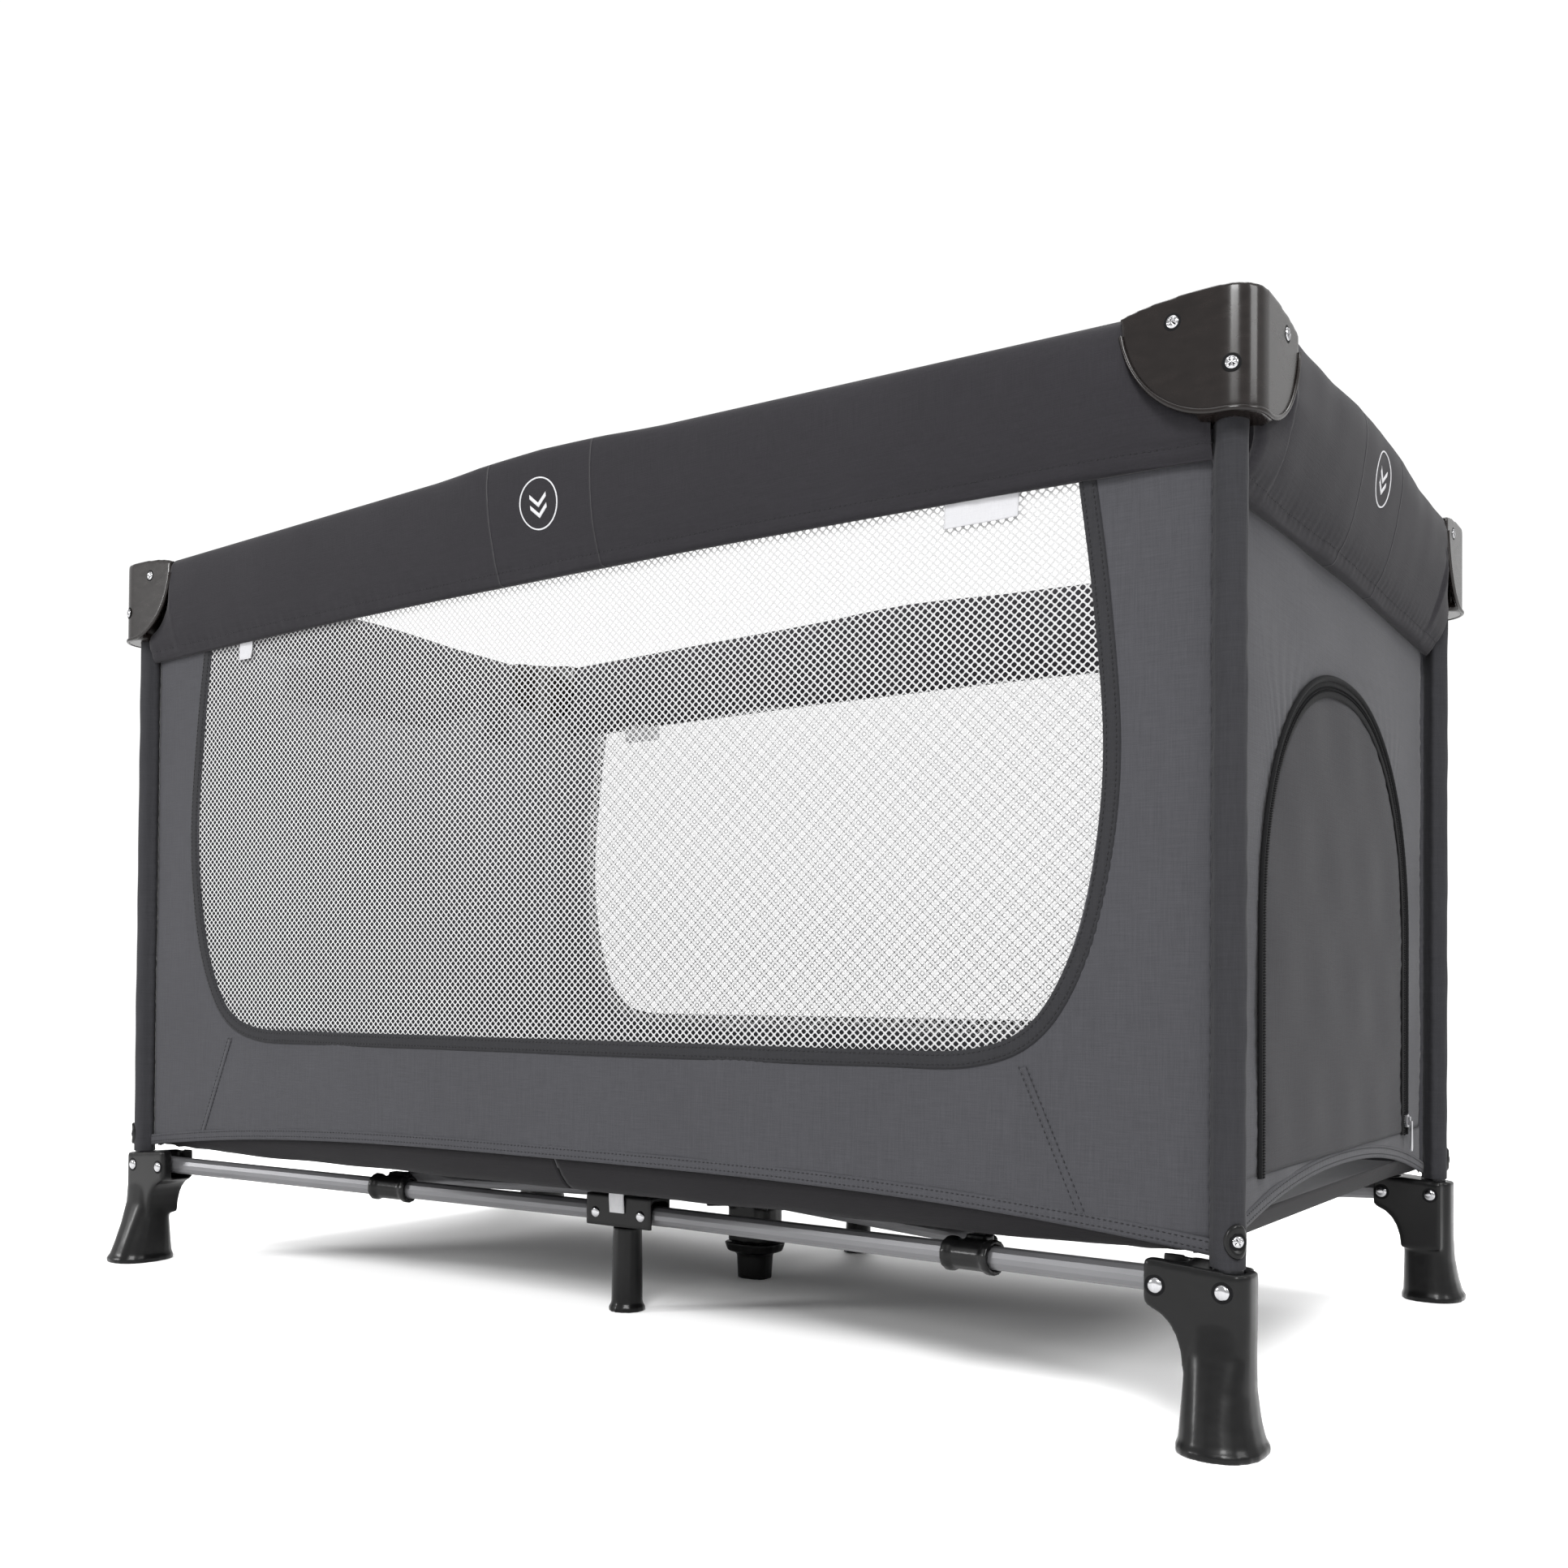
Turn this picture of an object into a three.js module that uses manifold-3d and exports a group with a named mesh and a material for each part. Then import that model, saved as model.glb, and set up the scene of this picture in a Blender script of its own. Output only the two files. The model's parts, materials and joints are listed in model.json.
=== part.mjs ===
// Folding travel cot: four posts joined at the top by rails that break in the middle, a folding base
// of four bars, four arms and a lifting hub, and fabric walls with a zipped side door.
// Millimetres, +Z up. The origin is on the floor, at the centre of the cot. The front is at -Y.
import * as THREE from "three";
import { mergeVertices } from "three/addons/utils/BufferGeometryUtils.js";
import Module from "manifold-3d";

const wasm = await Module();
wasm.setup();

// Driving dimensions of the frame.
const POST_X = 600; // post axis from the centre, along the cot
const POST_Y = 309; // post axis from the centre, across the cot
const OVER_CENTRE = THREE.MathUtils.degToRad(1.5); // how far the rails and bars stand past straight
const CLEAR = 0.4; // gap between pieces that touch on the real cot
const ROUND = 14; // sides of a round tube

// Tubes: outer radius and wall.
const TUBE_WALL = 1;
const POST_R = 9.5;
const RAIL_R = 9;
const ARM_R = 6.5;

// Top rails: pivots in the corner covers and in the middle latches.
const RAIL_Z = 735; // corner pivot height
const RAIL_OUT = 9; // rail axis outboard of the post axis
const CORNER_PIVOT = 32; // corner pivot from the post axis, along the rail
const LATCH_PIVOT = 40; // latch pivot from the middle of the rail
const TAIL = 8; // tube beyond its pivot

// Base: pivots in the feet and in the middle brackets.
const FOOT_PIVOT = 45; // foot pivot from the post axis
const FOOT_PIVOT_IN = 9; // bar axis inboard of the post axis at the foot
const FOOT_PIVOT_Z = 104;
const MID_PIVOT = 27; // bar pivot from the middle of the base
const MID_Y = 204; // middle bracket from the centre, across the cot

// Corner covers, feet and posts.
const COVER_WING = 69; // reach of each wing from the post axis
const COVER_BOTTOM = 672;
const COVER_SHOULDER = 749; // height of a wing's end
const COVER_TOP = 756;
const COVER_OUT = 24; // outer face from the post axis
const COVER_IN = 8;
const POST_BOTTOM = 62;
const POST_TOP = 724;
const FOOT_TOP = 116;

// Hub, arms and clamps of the base.
const HUB_PIVOT_R = 44; // arm pivot from the hub's axis
const HUB_PIVOT_Z = 84;
const ARM_SHORT = 56; // an arm's tube ends this far before its clamp's pivot, which is left open
const CLAMP_R = 13.5;
const CLAMP_LENGTH = 44;
const CLAMP_NEAR = 165; // clamp from the foot pivot on the front right and back left bars
const CLAMP_FAR = 290; // clamp from the foot pivot on the other two bars

// Fabric: walls between the posts, sleeves over the top rails, the floor and the mat.
const WALL = 3; // thickness of a wall slab
const WALL_TOP = 655;
const HEM_MIDDLE = 149;
const HEM_END = 125;
const SIDE_WALL_X = 590;
const SLEEVE_BOTTOM = 646;
const SLEEVE_HALF = 17; // half thickness of a rail sleeve
const SLEEVE_CLOTH = 2.5;
const DOOR_HALF = 213;
const DOOR_SILL = 168;
const DOOR_SPRING = 345; // height where the door's arch begins
const DOOR_RISE = 200;
const FLOOR_Z = [121.5, 124.5];
const MAT_Z = [125, 137];
const FLOOR_X = 578;
const FLOOR_Y = 279;

const material = (color, roughness, metalness = 0) =>
  new THREE.MeshStandardMaterial({ color, roughness, metalness });
const MATERIALS = {
  cover: material(0x2b2727, 0.35),
  plastic: material(0x1a1a1b, 0.45),
  steel: material(0x77777a, 0.4, 0.6),
  black_steel: material(0x3a3a3d, 0.5, 0.5),
  button: material(0x3a3a3d, 0.4),
  wall: material(0x55555a, 0.9),
  sleeve: material(0x434347, 0.9),
  door: material(0x4b4b50, 0.9),
  floor: material(0x3a3a3e, 0.9),
  mat: material(0x8a8a8f, 0.9),
  zip: material(0x8f9092, 0.35, 0.8),
};

// ---- Solids ----

// A closed three.js geometry as a solid.
function solid(geometry) {
  const bare = (geometry.index ? geometry.toNonIndexed() : geometry).clone();
  bare.deleteAttribute("normal");
  bare.deleteAttribute("uv");
  const merged = mergeVertices(bare, 1e-4);
  const vertProperties = new Float32Array(merged.attributes.position.array);
  const triVerts = new Uint32Array(merged.index.array);
  return new wasm.Manifold(new wasm.Mesh({ numProp: 3, vertProperties, triVerts }));
}

// A solid as a three.js geometry.
function geometryOf(made) {
  const mesh = made.getMesh();
  const geometry = new THREE.BufferGeometry();
  geometry.setAttribute("position", new THREE.BufferAttribute(mesh.vertProperties, 3));
  geometry.setIndex(new THREE.BufferAttribute(mesh.triVerts, 1));
  geometry.computeVertexNormals();
  return geometry;
}

// Joins the first list and cuts the second list out of it.
function build(joined, cut = []) {
  const whole = joined.map(solid).reduce((a, b) => a.add(b));
  return geometryOf(cut.map(solid).reduce((a, b) => a.subtract(b), whole));
}

// A box between two limits on each axis.
function box([x0, x1], [y0, y1], [z0, z1]) {
  const geometry = new THREE.BoxGeometry(x1 - x0, y1 - y0, z1 - z0);
  return geometry.translate((x0 + x1) / 2, (y0 + y1) / 2, (z0 + z1) / 2);
}

// Turns a geometry made along +Z so that it runs from one point towards another.
function along(geometry, from, to) {
  const direction = to.clone().sub(from).normalize();
  const turn = new THREE.Quaternion().setFromUnitVectors(new THREE.Vector3(0, 0, 1), direction);
  return geometry.applyQuaternion(turn).translate(from.x, from.y, from.z);
}

// A round bar along +Z, from 0 to its length.
function bar(radius, length, sides = ROUND) {
  return new THREE.CylinderGeometry(radius, radius, length, sides).rotateX(Math.PI / 2).translate(0, 0, length / 2);
}

// A hollow tube between two points.
function tube(from, to, radius, wall) {
  const length = from.distanceTo(to);
  const profile = [
    new THREE.Vector2(radius - wall, 0),
    new THREE.Vector2(radius, 0),
    new THREE.Vector2(radius, length),
    new THREE.Vector2(radius - wall, length),
    new THREE.Vector2(radius - wall, 0),
  ];
  return along(new THREE.LatheGeometry(profile, ROUND).rotateX(Math.PI / 2), from, to);
}

// An outline in the XZ plane with a thickness from y0 to y1.
function plateXZ(shape, [y0, y1], curveSegments = 8) {
  const geometry = new THREE.ExtrudeGeometry(shape, { depth: y1 - y0, bevelEnabled: false, curveSegments });
  return geometry.rotateX(Math.PI / 2).translate(0, y1, 0);
}

// The same outline turned into the YZ plane: its x becomes y, and its thickness runs from x0 to x1.
function plateYZ(shape, [x0, x1], curveSegments = 8) {
  return plateXZ(shape, [-x1, -x0], curveSegments).rotateZ(Math.PI / 2);
}

// A loft through rings of points, closed at both ends.
function loft(rings) {
  const sides = rings[0].length;
  const points = rings.flat();
  const index = [];
  for (let r = 0; r + 1 < rings.length; r++) {
    for (let k = 0; k < sides; k++) {
      const a = r * sides + k;
      const b = r * sides + ((k + 1) % sides);
      index.push(a, b, b + sides, a, b + sides, a + sides);
    }
  }
  for (let k = 1; k + 1 < sides; k++) {
    const top = (rings.length - 1) * sides;
    index.push(0, k + 1, k, top, top + k, top + k + 1);
  }
  const geometry = new THREE.BufferGeometry().setFromPoints(points);
  geometry.setIndex(index);
  return geometry;
}

// A rounded ring at a height: centre, half widths, and how square it is.
function ring(z, cx, cy, rx, ry, squareness, sides = 20) {
  const power = (value) => Math.sign(value) * Math.abs(value) ** squareness;
  return Array.from({ length: sides }, (_, k) => {
    const turn = (2 * Math.PI * k) / sides;
    return new THREE.Vector3(cx + rx * power(Math.cos(turn)), cy + ry * power(Math.sin(turn)), z);
  });
}

// ---- Pivots of the front right quarter ----

const point = (x, y, z) => new THREE.Vector3(x, y, z);
const rise = (run) => run * Math.tan(OVER_CENTRE);
const LONG_RUN = POST_X - CORNER_PIVOT - LATCH_PIVOT;
const SHORT_RUN = POST_Y - CORNER_PIVOT - LATCH_PIVOT;
const LONG_LATCH_Z = RAIL_Z + rise(LONG_RUN);
const SHORT_LATCH_Z = RAIL_Z + rise(SHORT_RUN);
const LONG_Y = -(POST_Y + RAIL_OUT);
const SHORT_X = POST_X + RAIL_OUT;
const footPivot = point(POST_X - FOOT_PIVOT, -(POST_Y - FOOT_PIVOT_IN), FOOT_PIVOT_Z);
const midRun = Math.hypot(footPivot.x - MID_PIVOT, footPivot.y + MID_Y);
const midPivot = point(MID_PIVOT, -MID_Y, FOOT_PIVOT_Z - rise(midRun));
const barDirection = midPivot.clone().sub(footPivot).normalize();
const barInboard = point(-barDirection.y, barDirection.x, 0).normalize().negate();

// A tube that ends a little beyond each of its two pivots.
function pivotedTube(a, b, radius, tailA, tailB) {
  const direction = b.clone().sub(a).normalize();
  const from = a.clone().addScaledVector(direction, -tailA);
  const to = b.clone().addScaledVector(direction, tailB);
  return tube(from, to, radius, TUBE_WALL);
}

// ---- Pieces of the front right quarter ----

function post() {
  return tube(point(POST_X, -POST_Y, POST_BOTTOM), point(POST_X, -POST_Y, POST_TOP), POST_R, TUBE_WALL);
}

// The outline of a cover's wing: a quarter ellipse that hangs from a nearly flat top.
function wingOutline() {
  const shape = new THREE.Shape();
  shape.moveTo(0, COVER_BOTTOM);
  shape.lineTo(0, COVER_TOP);
  shape.quadraticCurveTo(-COVER_WING * 0.7, COVER_TOP, -COVER_WING, COVER_SHOULDER);
  const steps = 8;
  for (let k = 1; k < steps; k++) {
    const turn = (Math.PI / 2) * (k / steps);
    const x = -COVER_WING * Math.cos(turn);
    const z = COVER_SHOULDER - (COVER_SHOULDER - COVER_BOTTOM) * Math.sin(turn);
    shape.lineTo(x, z);
  }
  return shape;
}

// Swaps the two wings of the corner: (x, y) becomes (-y, -x), measured from the post axis.
function otherWing(geometry) {
  const swap = new THREE.Matrix4().set(0, -1, 0, 0, -1, 0, 0, 0, 0, 0, 1, 0, 0, 0, 0, 1);
  const turned = (geometry.index ? geometry.toNonIndexed() : geometry.clone()).applyMatrix4(swap);
  const position = turned.attributes.position;
  const a = new THREE.Vector3();
  const b = new THREE.Vector3();
  for (let i = 0; i < position.count; i += 3) {
    a.fromBufferAttribute(position, i + 1);
    b.fromBufferAttribute(position, i + 2);
    position.setXYZ(i + 1, b.x, b.y, b.z);
    position.setXYZ(i + 2, a.x, a.y, a.z);
  }
  return turned;
}

function cornerCover() {
  const wing = plateXZ(wingOutline(), [-COVER_OUT, COVER_IN]);
  const slotHalf = RAIL_R + 2.5;
  const slotEnd = CORNER_PIVOT - Math.hypot(TAIL, RAIL_R) - 2;
  const slot = box(
    [-COVER_WING - 5, -slotEnd],
    [-RAIL_OUT - slotHalf, -RAIL_OUT + slotHalf],
    [COVER_BOTTOM - 5, COVER_TOP - 7],
  );
  const crown = bar(COVER_OUT, COVER_TOP - COVER_BOTTOM, 24).translate(0, 0, COVER_BOTTOM);
  const socket = bar(POST_R + CLEAR, POST_TOP + 1 - COVER_BOTTOM + 5).translate(0, 0, COVER_BOTTOM - 5);
  const made = build([wing, otherWing(wing), crown], [slot, otherWing(slot), socket]);
  return made.translate(POST_X, -POST_Y, 0);
}

// The foot: a flared column below, and a housing for the post and the base bar above.
function foot() {
  const column = loft([
    ring(0, -2, -5, 29, 34, 0.85),
    ring(5, -2, -5, 29, 34, 0.85),
    ring(6, -2.3, -4.8, 27, 32, 0.85),
    ring(20, -4, -3.6, 25, 28.5, 0.85),
    ring(40, -5.2, -1.5, 23, 23.5, 0.8),
    ring(62, -5.5, 0.5, 22.5, 18, 0.7),
    ring(84, -5.5, 1.5, 22.5, 15.5, 0.55),
    ring(FOOT_TOP, -5.5, 1.5, 22.5, 15.5, 0.55),
  ]);
  const outline = new THREE.Shape();
  outline.moveTo(10, FOOT_TOP);
  outline.lineTo(-38, 120);
  outline.lineTo(-50, 121);
  outline.quadraticCurveTo(-54, 121, -54, 117);
  outline.lineTo(-54, 95);
  outline.quadraticCurveTo(-54, 90, -49, 88);
  outline.quadraticCurveTo(-29, 82, -27, 50);
  outline.lineTo(10, 50);
  const housing = plateXZ(outline, [-14, 24], 5);
  const slotHalf = RAIL_R + 2.8;
  const slot = box(
    [-60, -FOOT_PIVOT + Math.hypot(TAIL, RAIL_R) + 1.5],
    [FOOT_PIVOT_IN + 1 - slotHalf, FOOT_PIVOT_IN + 1 + slotHalf],
    [FOOT_PIVOT_Z - Math.hypot(TAIL, RAIL_R) - 1.5, 130],
  );
  const socket = bar(POST_R + CLEAR, 80).translate(0, 0, POST_BOTTOM - 1);
  return build([column, housing], [slot, socket]).translate(POST_X, -POST_Y, 0);
}

function longRail() {
  const corner = point(POST_X - CORNER_PIVOT, LONG_Y, RAIL_Z);
  return pivotedTube(corner, point(LATCH_PIVOT, LONG_Y, LONG_LATCH_Z), RAIL_R, TAIL, TAIL);
}

function shortRail() {
  const corner = point(SHORT_X, -(POST_Y - CORNER_PIVOT), RAIL_Z);
  return pivotedTube(corner, point(SHORT_X, -LATCH_PIVOT, SHORT_LATCH_Z), RAIL_R, TAIL, TAIL);
}

const baseBar = () => pivotedTube(footPivot, midPivot, RAIL_R, TAIL, TAIL);

// A clamp round a base bar, with a lug towards the hub that holds the end of an arm.
function clamp(distance) {
  const half = CLAMP_LENGTH / 2;
  const ringProfile = [
    new THREE.Vector2(0, -half),
    new THREE.Vector2(CLAMP_R, -half),
    new THREE.Vector2(CLAMP_R, -half + 5),
    new THREE.Vector2(CLAMP_R - 2, -half + 9),
    new THREE.Vector2(CLAMP_R - 2, half - 9),
    new THREE.Vector2(CLAMP_R, half - 5),
    new THREE.Vector2(CLAMP_R, half),
    new THREE.Vector2(0, half),
  ];
  const sleeve = new THREE.LatheGeometry(ringProfile, ROUND);
  const lug = box([3, 16], [-9, 9], [2, 15]);
  const bore = new THREE.CylinderGeometry(RAIL_R + CLEAR, RAIL_R + CLEAR, CLAMP_LENGTH + 10, ROUND);
  const geometry = build([sleeve, lug], [bore]);
  const placed = new THREE.Matrix4().makeBasis(barInboard, barDirection, barInboard.clone().cross(barDirection));
  placed.setPosition(footPivot.clone().addScaledVector(barDirection, distance));
  return geometry.applyMatrix4(placed);
}

// Where an arm's outer pivot is, beside its clamp.
function clampPivot(distance) {
  const middle = footPivot.clone().addScaledVector(barDirection, distance);
  return middle.addScaledVector(barInboard, 24).add(point(0, 0, 8));
}

// The direction of an arm in plan, from the hub's axis.
function armHeading(distance) {
  const pivot = clampPivot(distance);
  return point(pivot.x, pivot.y, 0).normalize();
}

function arm(distance) {
  const inner = armHeading(distance).multiplyScalar(HUB_PIVOT_R).setZ(HUB_PIVOT_Z);
  return pivotedTube(inner, clampPivot(distance), ARM_R, 5, -ARM_SHORT);
}

// ---- Pieces of the middle ----

// The latch in the middle of a top rail, made round the origin along X, with its pivots at height 0.
function latch() {
  const slotHalf = RAIL_R + 1.5;
  const slotEnd = LATCH_PIVOT - Math.hypot(TAIL, RAIL_R) - 1;
  const slots = [-1, 1].map((side) =>
    box([side < 0 ? -60 : slotEnd, side < 0 ? -slotEnd : 60], [-slotHalf, slotHalf], [-13, 20]),
  );
  const pocket = new THREE.CylinderGeometry(15, 15, 14, 20).translate(0, -13 + 6, 0).translate(0, 0, -3);
  return build([box([-54, 54], [-13, 13], [-17.5, 11])], [...slots, pocket]);
}

// The release button, in the latch's outer face.
const button = () => new THREE.CylinderGeometry(14, 12.5, 6, 20).rotateZ(Math.PI).translate(0, -10, -3);

function midBracket() {
  const slotHalf = RAIL_R + 2.6;
  const slotEnd = MID_PIVOT - Math.hypot(TAIL, RAIL_R) - 0.6;
  const slots = [-1, 1].map((side) =>
    box(
      [side < 0 ? -45 : slotEnd, side < 0 ? -slotEnd : 45],
      [-slotHalf, slotHalf],
      [-20, Math.hypot(TAIL, RAIL_R) + 0.6],
    ),
  );
  const made = build([box([-39, 39], [-slotHalf - 3, slotHalf + 3], [-12, 17.5])], slots);
  return made.translate(0, -MID_Y, midPivot.z);
}

function midLeg() {
  const top = midPivot.z - 12 - CLEAR;
  const profile = [
    new THREE.Vector2(0, 12),
    new THREE.Vector2(11, 12),
    new THREE.Vector2(11.5, 0),
    new THREE.Vector2(17, 0),
    new THREE.Vector2(17, 4),
    new THREE.Vector2(14.6, 7),
    new THREE.Vector2(13.6, top),
    new THREE.Vector2(0, top),
  ];
  return new THREE.LatheGeometry(profile, ROUND).rotateX(Math.PI / 2).translate(0, -MID_Y, 0);
}

// The hub's housing: a block with four forked ears, one for each arm.
function hubHousing(headings) {
  const block = loft([
    ring(38, 0, 0, 26, 21, 0.6),
    ring(88, 0, 0, 26, 22, 0.6),
    ring(93, 0, 0, 22, 18, 0.6),
  ]);
  const ears = headings.map((heading) => {
    const angle = Math.atan2(heading.y, heading.x);
    return box([10, HUB_PIVOT_R + 7], [-11, 11], [HUB_PIVOT_Z - 9, HUB_PIVOT_Z + 8]).rotateZ(angle);
  });
  const slots = headings.map((heading) => {
    const angle = Math.atan2(heading.y, heading.x);
    const reach = HUB_PIVOT_R - Math.hypot(5, ARM_R) - 1;
    return box([reach, HUB_PIVOT_R + 20], [-ARM_R - 1, ARM_R + 1], [HUB_PIVOT_Z - 20, HUB_PIVOT_Z + 20]).rotateZ(angle);
  });
  return build([block, ...ears], slots);
}

// The hub's foot: a cup with a stub that stands on the floor.
function hubFoot() {
  return loft([
    ring(0, 0, 0, 17, 14, 0.7),
    ring(26, 0, 0, 18.5, 15, 0.7),
    ring(28, 0, 0, 28, 22, 0.7),
    ring(37.5, 0, 0, 31, 25, 0.7),
  ]);
}

// ---- Fabric solids ----

// A wall's outline: a straight top and a hem that is highest in the middle.
function wallOutline(half, hemMiddle, hemEnd) {
  const shape = new THREE.Shape();
  shape.moveTo(-half, WALL_TOP);
  shape.lineTo(-half, hemEnd);
  shape.lineTo(-half * 0.8, hemEnd + (hemMiddle - hemEnd) * 0.6);
  shape.lineTo(0, hemMiddle);
  shape.lineTo(half * 0.8, hemEnd + (hemMiddle - hemEnd) * 0.6);
  shape.lineTo(half, hemEnd);
  shape.lineTo(half, WALL_TOP);
  return shape;
}

// The door's outline, grown by a margin: straight legs under a half ellipse.
function doorOutline(margin, sill) {
  const shape = new THREE.Shape();
  const half = DOOR_HALF + margin;
  const steps = 16;
  shape.moveTo(-half, sill);
  for (let k = 0; k <= steps; k++) {
    const turn = Math.PI * (1 - k / steps);
    shape.lineTo(half * Math.cos(turn), DOOR_SPRING + (DOOR_RISE + margin) * Math.sin(turn));
  }
  shape.lineTo(half, sill);
  return shape;
}

const postClear = POST_R + 4;

function longWall() {
  const outline = wallOutline(POST_X - postClear, HEM_MIDDLE, HEM_END);
  return plateXZ(outline, [-POST_Y - WALL / 2, -POST_Y + WALL / 2]);
}

function shortWall() {
  const outline = wallOutline(POST_Y - postClear, HEM_MIDDLE, HEM_END + 8);
  return plateYZ(outline, [SIDE_WALL_X - WALL / 2, SIDE_WALL_X + WALL / 2]);
}

function doorWall() {
  const hole = plateYZ(doorOutline(1, DOOR_SILL), [SIDE_WALL_X - 10, SIDE_WALL_X + 10]);
  return build([shortWall()], [hole]);
}

const door = () => plateYZ(doorOutline(-1, DOOR_SILL + 2), [SIDE_WALL_X - WALL / 2, SIDE_WALL_X + WALL / 2]);

// A sleeve's outline along half a rail run: it follows the rail's rise and clears the corner covers.
function sleeveOutline(postAt, topMiddle, inset) {
  const steps = 6;
  const half = [[0, topMiddle - inset], [postAt - COVER_WING - 5, COVER_SHOULDER + 3 - inset]];
  for (let k = 0; k <= steps; k++) {
    const turn = (Math.PI / 2) * (0.08 + 0.78 * (k / steps));
    const x = postAt - (COVER_WING + 5) * Math.cos(turn);
    half.push([x, COVER_SHOULDER - (COVER_SHOULDER - COVER_BOTTOM + 5) * Math.sin(turn)]);
  }
  half.push([postAt - postClear, COVER_BOTTOM - 10]);
  half.push([postAt - postClear, inset ? SLEEVE_BOTTOM - 5 : SLEEVE_BOTTOM]);
  const mirrored = half.slice(1).reverse().map(([x, z]) => [-x, z]);
  const shape = new THREE.Shape();
  [...half, ...mirrored].forEach(([x, z], k) => (k ? shape.lineTo(x, z) : shape.moveTo(x, z)));
  return shape;
}

// A sleeve is open below and at both ends, so its inside is cut out a cloth's thickness from each face.
function sleeve(postAt, topMiddle, plane) {
  const outer = plateXZ(sleeveOutline(postAt, topMiddle, 0), [plane - SLEEVE_HALF, plane + SLEEVE_HALF]);
  const gap = SLEEVE_HALF - SLEEVE_CLOTH;
  const inner = plateXZ(sleeveOutline(postAt + 0.01, topMiddle, SLEEVE_CLOTH), [plane - gap, plane + gap]);
  const ends = [-1, 1].map((side) => {
    const limits = [postAt - COVER_WING - 6, postAt + 20].map((x) => side * x).sort((a, b) => a - b);
    return box(limits, [plane - gap, plane + gap], [SLEEVE_BOTTOM - 20, COVER_TOP + 20]);
  });
  return build([outer], [inner, ...ends]);
}

// Half of the floor cloth or of the mat, from the middle fold to the end of the cot.
const floorHalf = ([z0, z1], inset) => box([1, FLOOR_X - inset], [-FLOOR_Y + inset, FLOOR_Y - inset], [z0, z1]);

// The zip's slider and pull, on the leg of the door's zip nearer the back.
function zipSlider() {
  const face = SIDE_WALL_X + WALL / 2 + CLEAR;
  const y = DOOR_HALF + 4.5; // just outside the flap's edge, so that the flap can swing past it
  const body = box([face, face + 4], [y - 4, y + 4], [DOOR_SILL + 14, DOOR_SILL + 26]);
  const pull = box([face + 2.5, face + 4.5], [y - 3, y + 3], [DOOR_SILL - 8, DOOR_SILL + 18]);
  return build([body, pull]);
}

// ---- Assembly ----

const cot = new THREE.Group();

// Adds one piece, mirrored across X or Y where the side asks for it.
function add(name, geometry, materialName, mirrorX = 1, mirrorY = 1) {
  const mesh = new THREE.Mesh(geometry, MATERIALS[materialName]);
  mesh.name = name;
  mesh.scale.set(mirrorX, mirrorY, 1);
  cot.add(mesh);
}

const SIDES_X = [["right", 1], ["left", -1]];
const SIDES_Y = [["front", 1], ["back", -1]];

for (const [sideY, my] of SIDES_Y) {
  for (const [sideX, mx] of SIDES_X) {
    const corner = `${sideY}_${sideX}`;
    const distance = mx * my > 0 ? CLAMP_NEAR : CLAMP_FAR;
    add(`post_${corner}`, post(), "black_steel", mx, my);
    add(`corner_cover_${corner}`, cornerCover(), "cover", mx, my);
    add(`foot_${corner}`, foot(), "plastic", mx, my);
    add(`top_rail_${sideY}_${sideX}`, longRail(), "black_steel", mx, my);
    add(`top_rail_${sideX}_${sideY}`, shortRail(), "black_steel", mx, my);
    add(`base_bar_${corner}`, baseBar(), "steel", mx, my);
    add(`bar_clamp_${corner}`, clamp(distance), "plastic", mx, my);
    add(`hub_arm_${corner}`, arm(distance), "steel", mx, my);
  }
  add(`latch_${sideY}`, latch().translate(0, LONG_Y, LONG_LATCH_Z), "plastic", 1, my);
  add(`latch_button_${sideY}`, button().translate(0, LONG_Y, LONG_LATCH_Z), "button", 1, my);
  add(`mid_bracket_${sideY}`, midBracket(), "plastic", 1, my);
  add(`mid_leg_${sideY}`, midLeg(), "plastic", 1, my);
  add(`wall_${sideY}`, longWall(), "wall", 1, my);
  add(`rail_sleeve_${sideY}`, sleeve(POST_X, 765, LONG_Y), "sleeve", 1, my);
}

for (const [sideX, mx] of SIDES_X) {
  const quarter = Math.PI / 2;
  add(`latch_${sideX}`, latch().rotateZ(quarter).translate(SHORT_X, 0, SHORT_LATCH_Z), "plastic", mx, 1);
  add(`latch_button_${sideX}`, button().rotateZ(quarter).translate(SHORT_X, 0, SHORT_LATCH_Z), "button", mx, 1);
  add(`rail_sleeve_${sideX}`, sleeve(POST_Y, 757, -SHORT_X).rotateZ(quarter), "sleeve", mx, 1);
  add(`floor_cloth_${sideX}`, floorHalf(FLOOR_Z, 0), "floor", mx, 1);
  add(`mat_${sideX}`, floorHalf(MAT_Z, 4), "mat", mx, 1);
}
add("wall_right", doorWall(), "wall");
add("wall_left", shortWall(), "wall", -1);
add("door_flap", door(), "door");
add("zip_slider", zipSlider(), "zip");

const headings = SIDES_Y.flatMap(([, my]) =>
  SIDES_X.map(([, mx]) => armHeading(mx * my > 0 ? CLAMP_NEAR : CLAMP_FAR).multiply(point(mx, my, 1))),
);
add("hub_housing", hubHousing(headings), "plastic");
add("hub_foot", hubFoot(), "plastic");

export default cot;
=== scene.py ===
# A folding travel cot: fabric walls with mesh windows, padded rail sleeves and moulded fittings on the
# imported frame. Metres, +Z up, front at -Y, and the zipped door in the +X end wall.
import bpy
import json
import math
import numpy as np
from mathutils import Matrix, Vector
from mathutils.bvhtree import BVHTree


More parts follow.
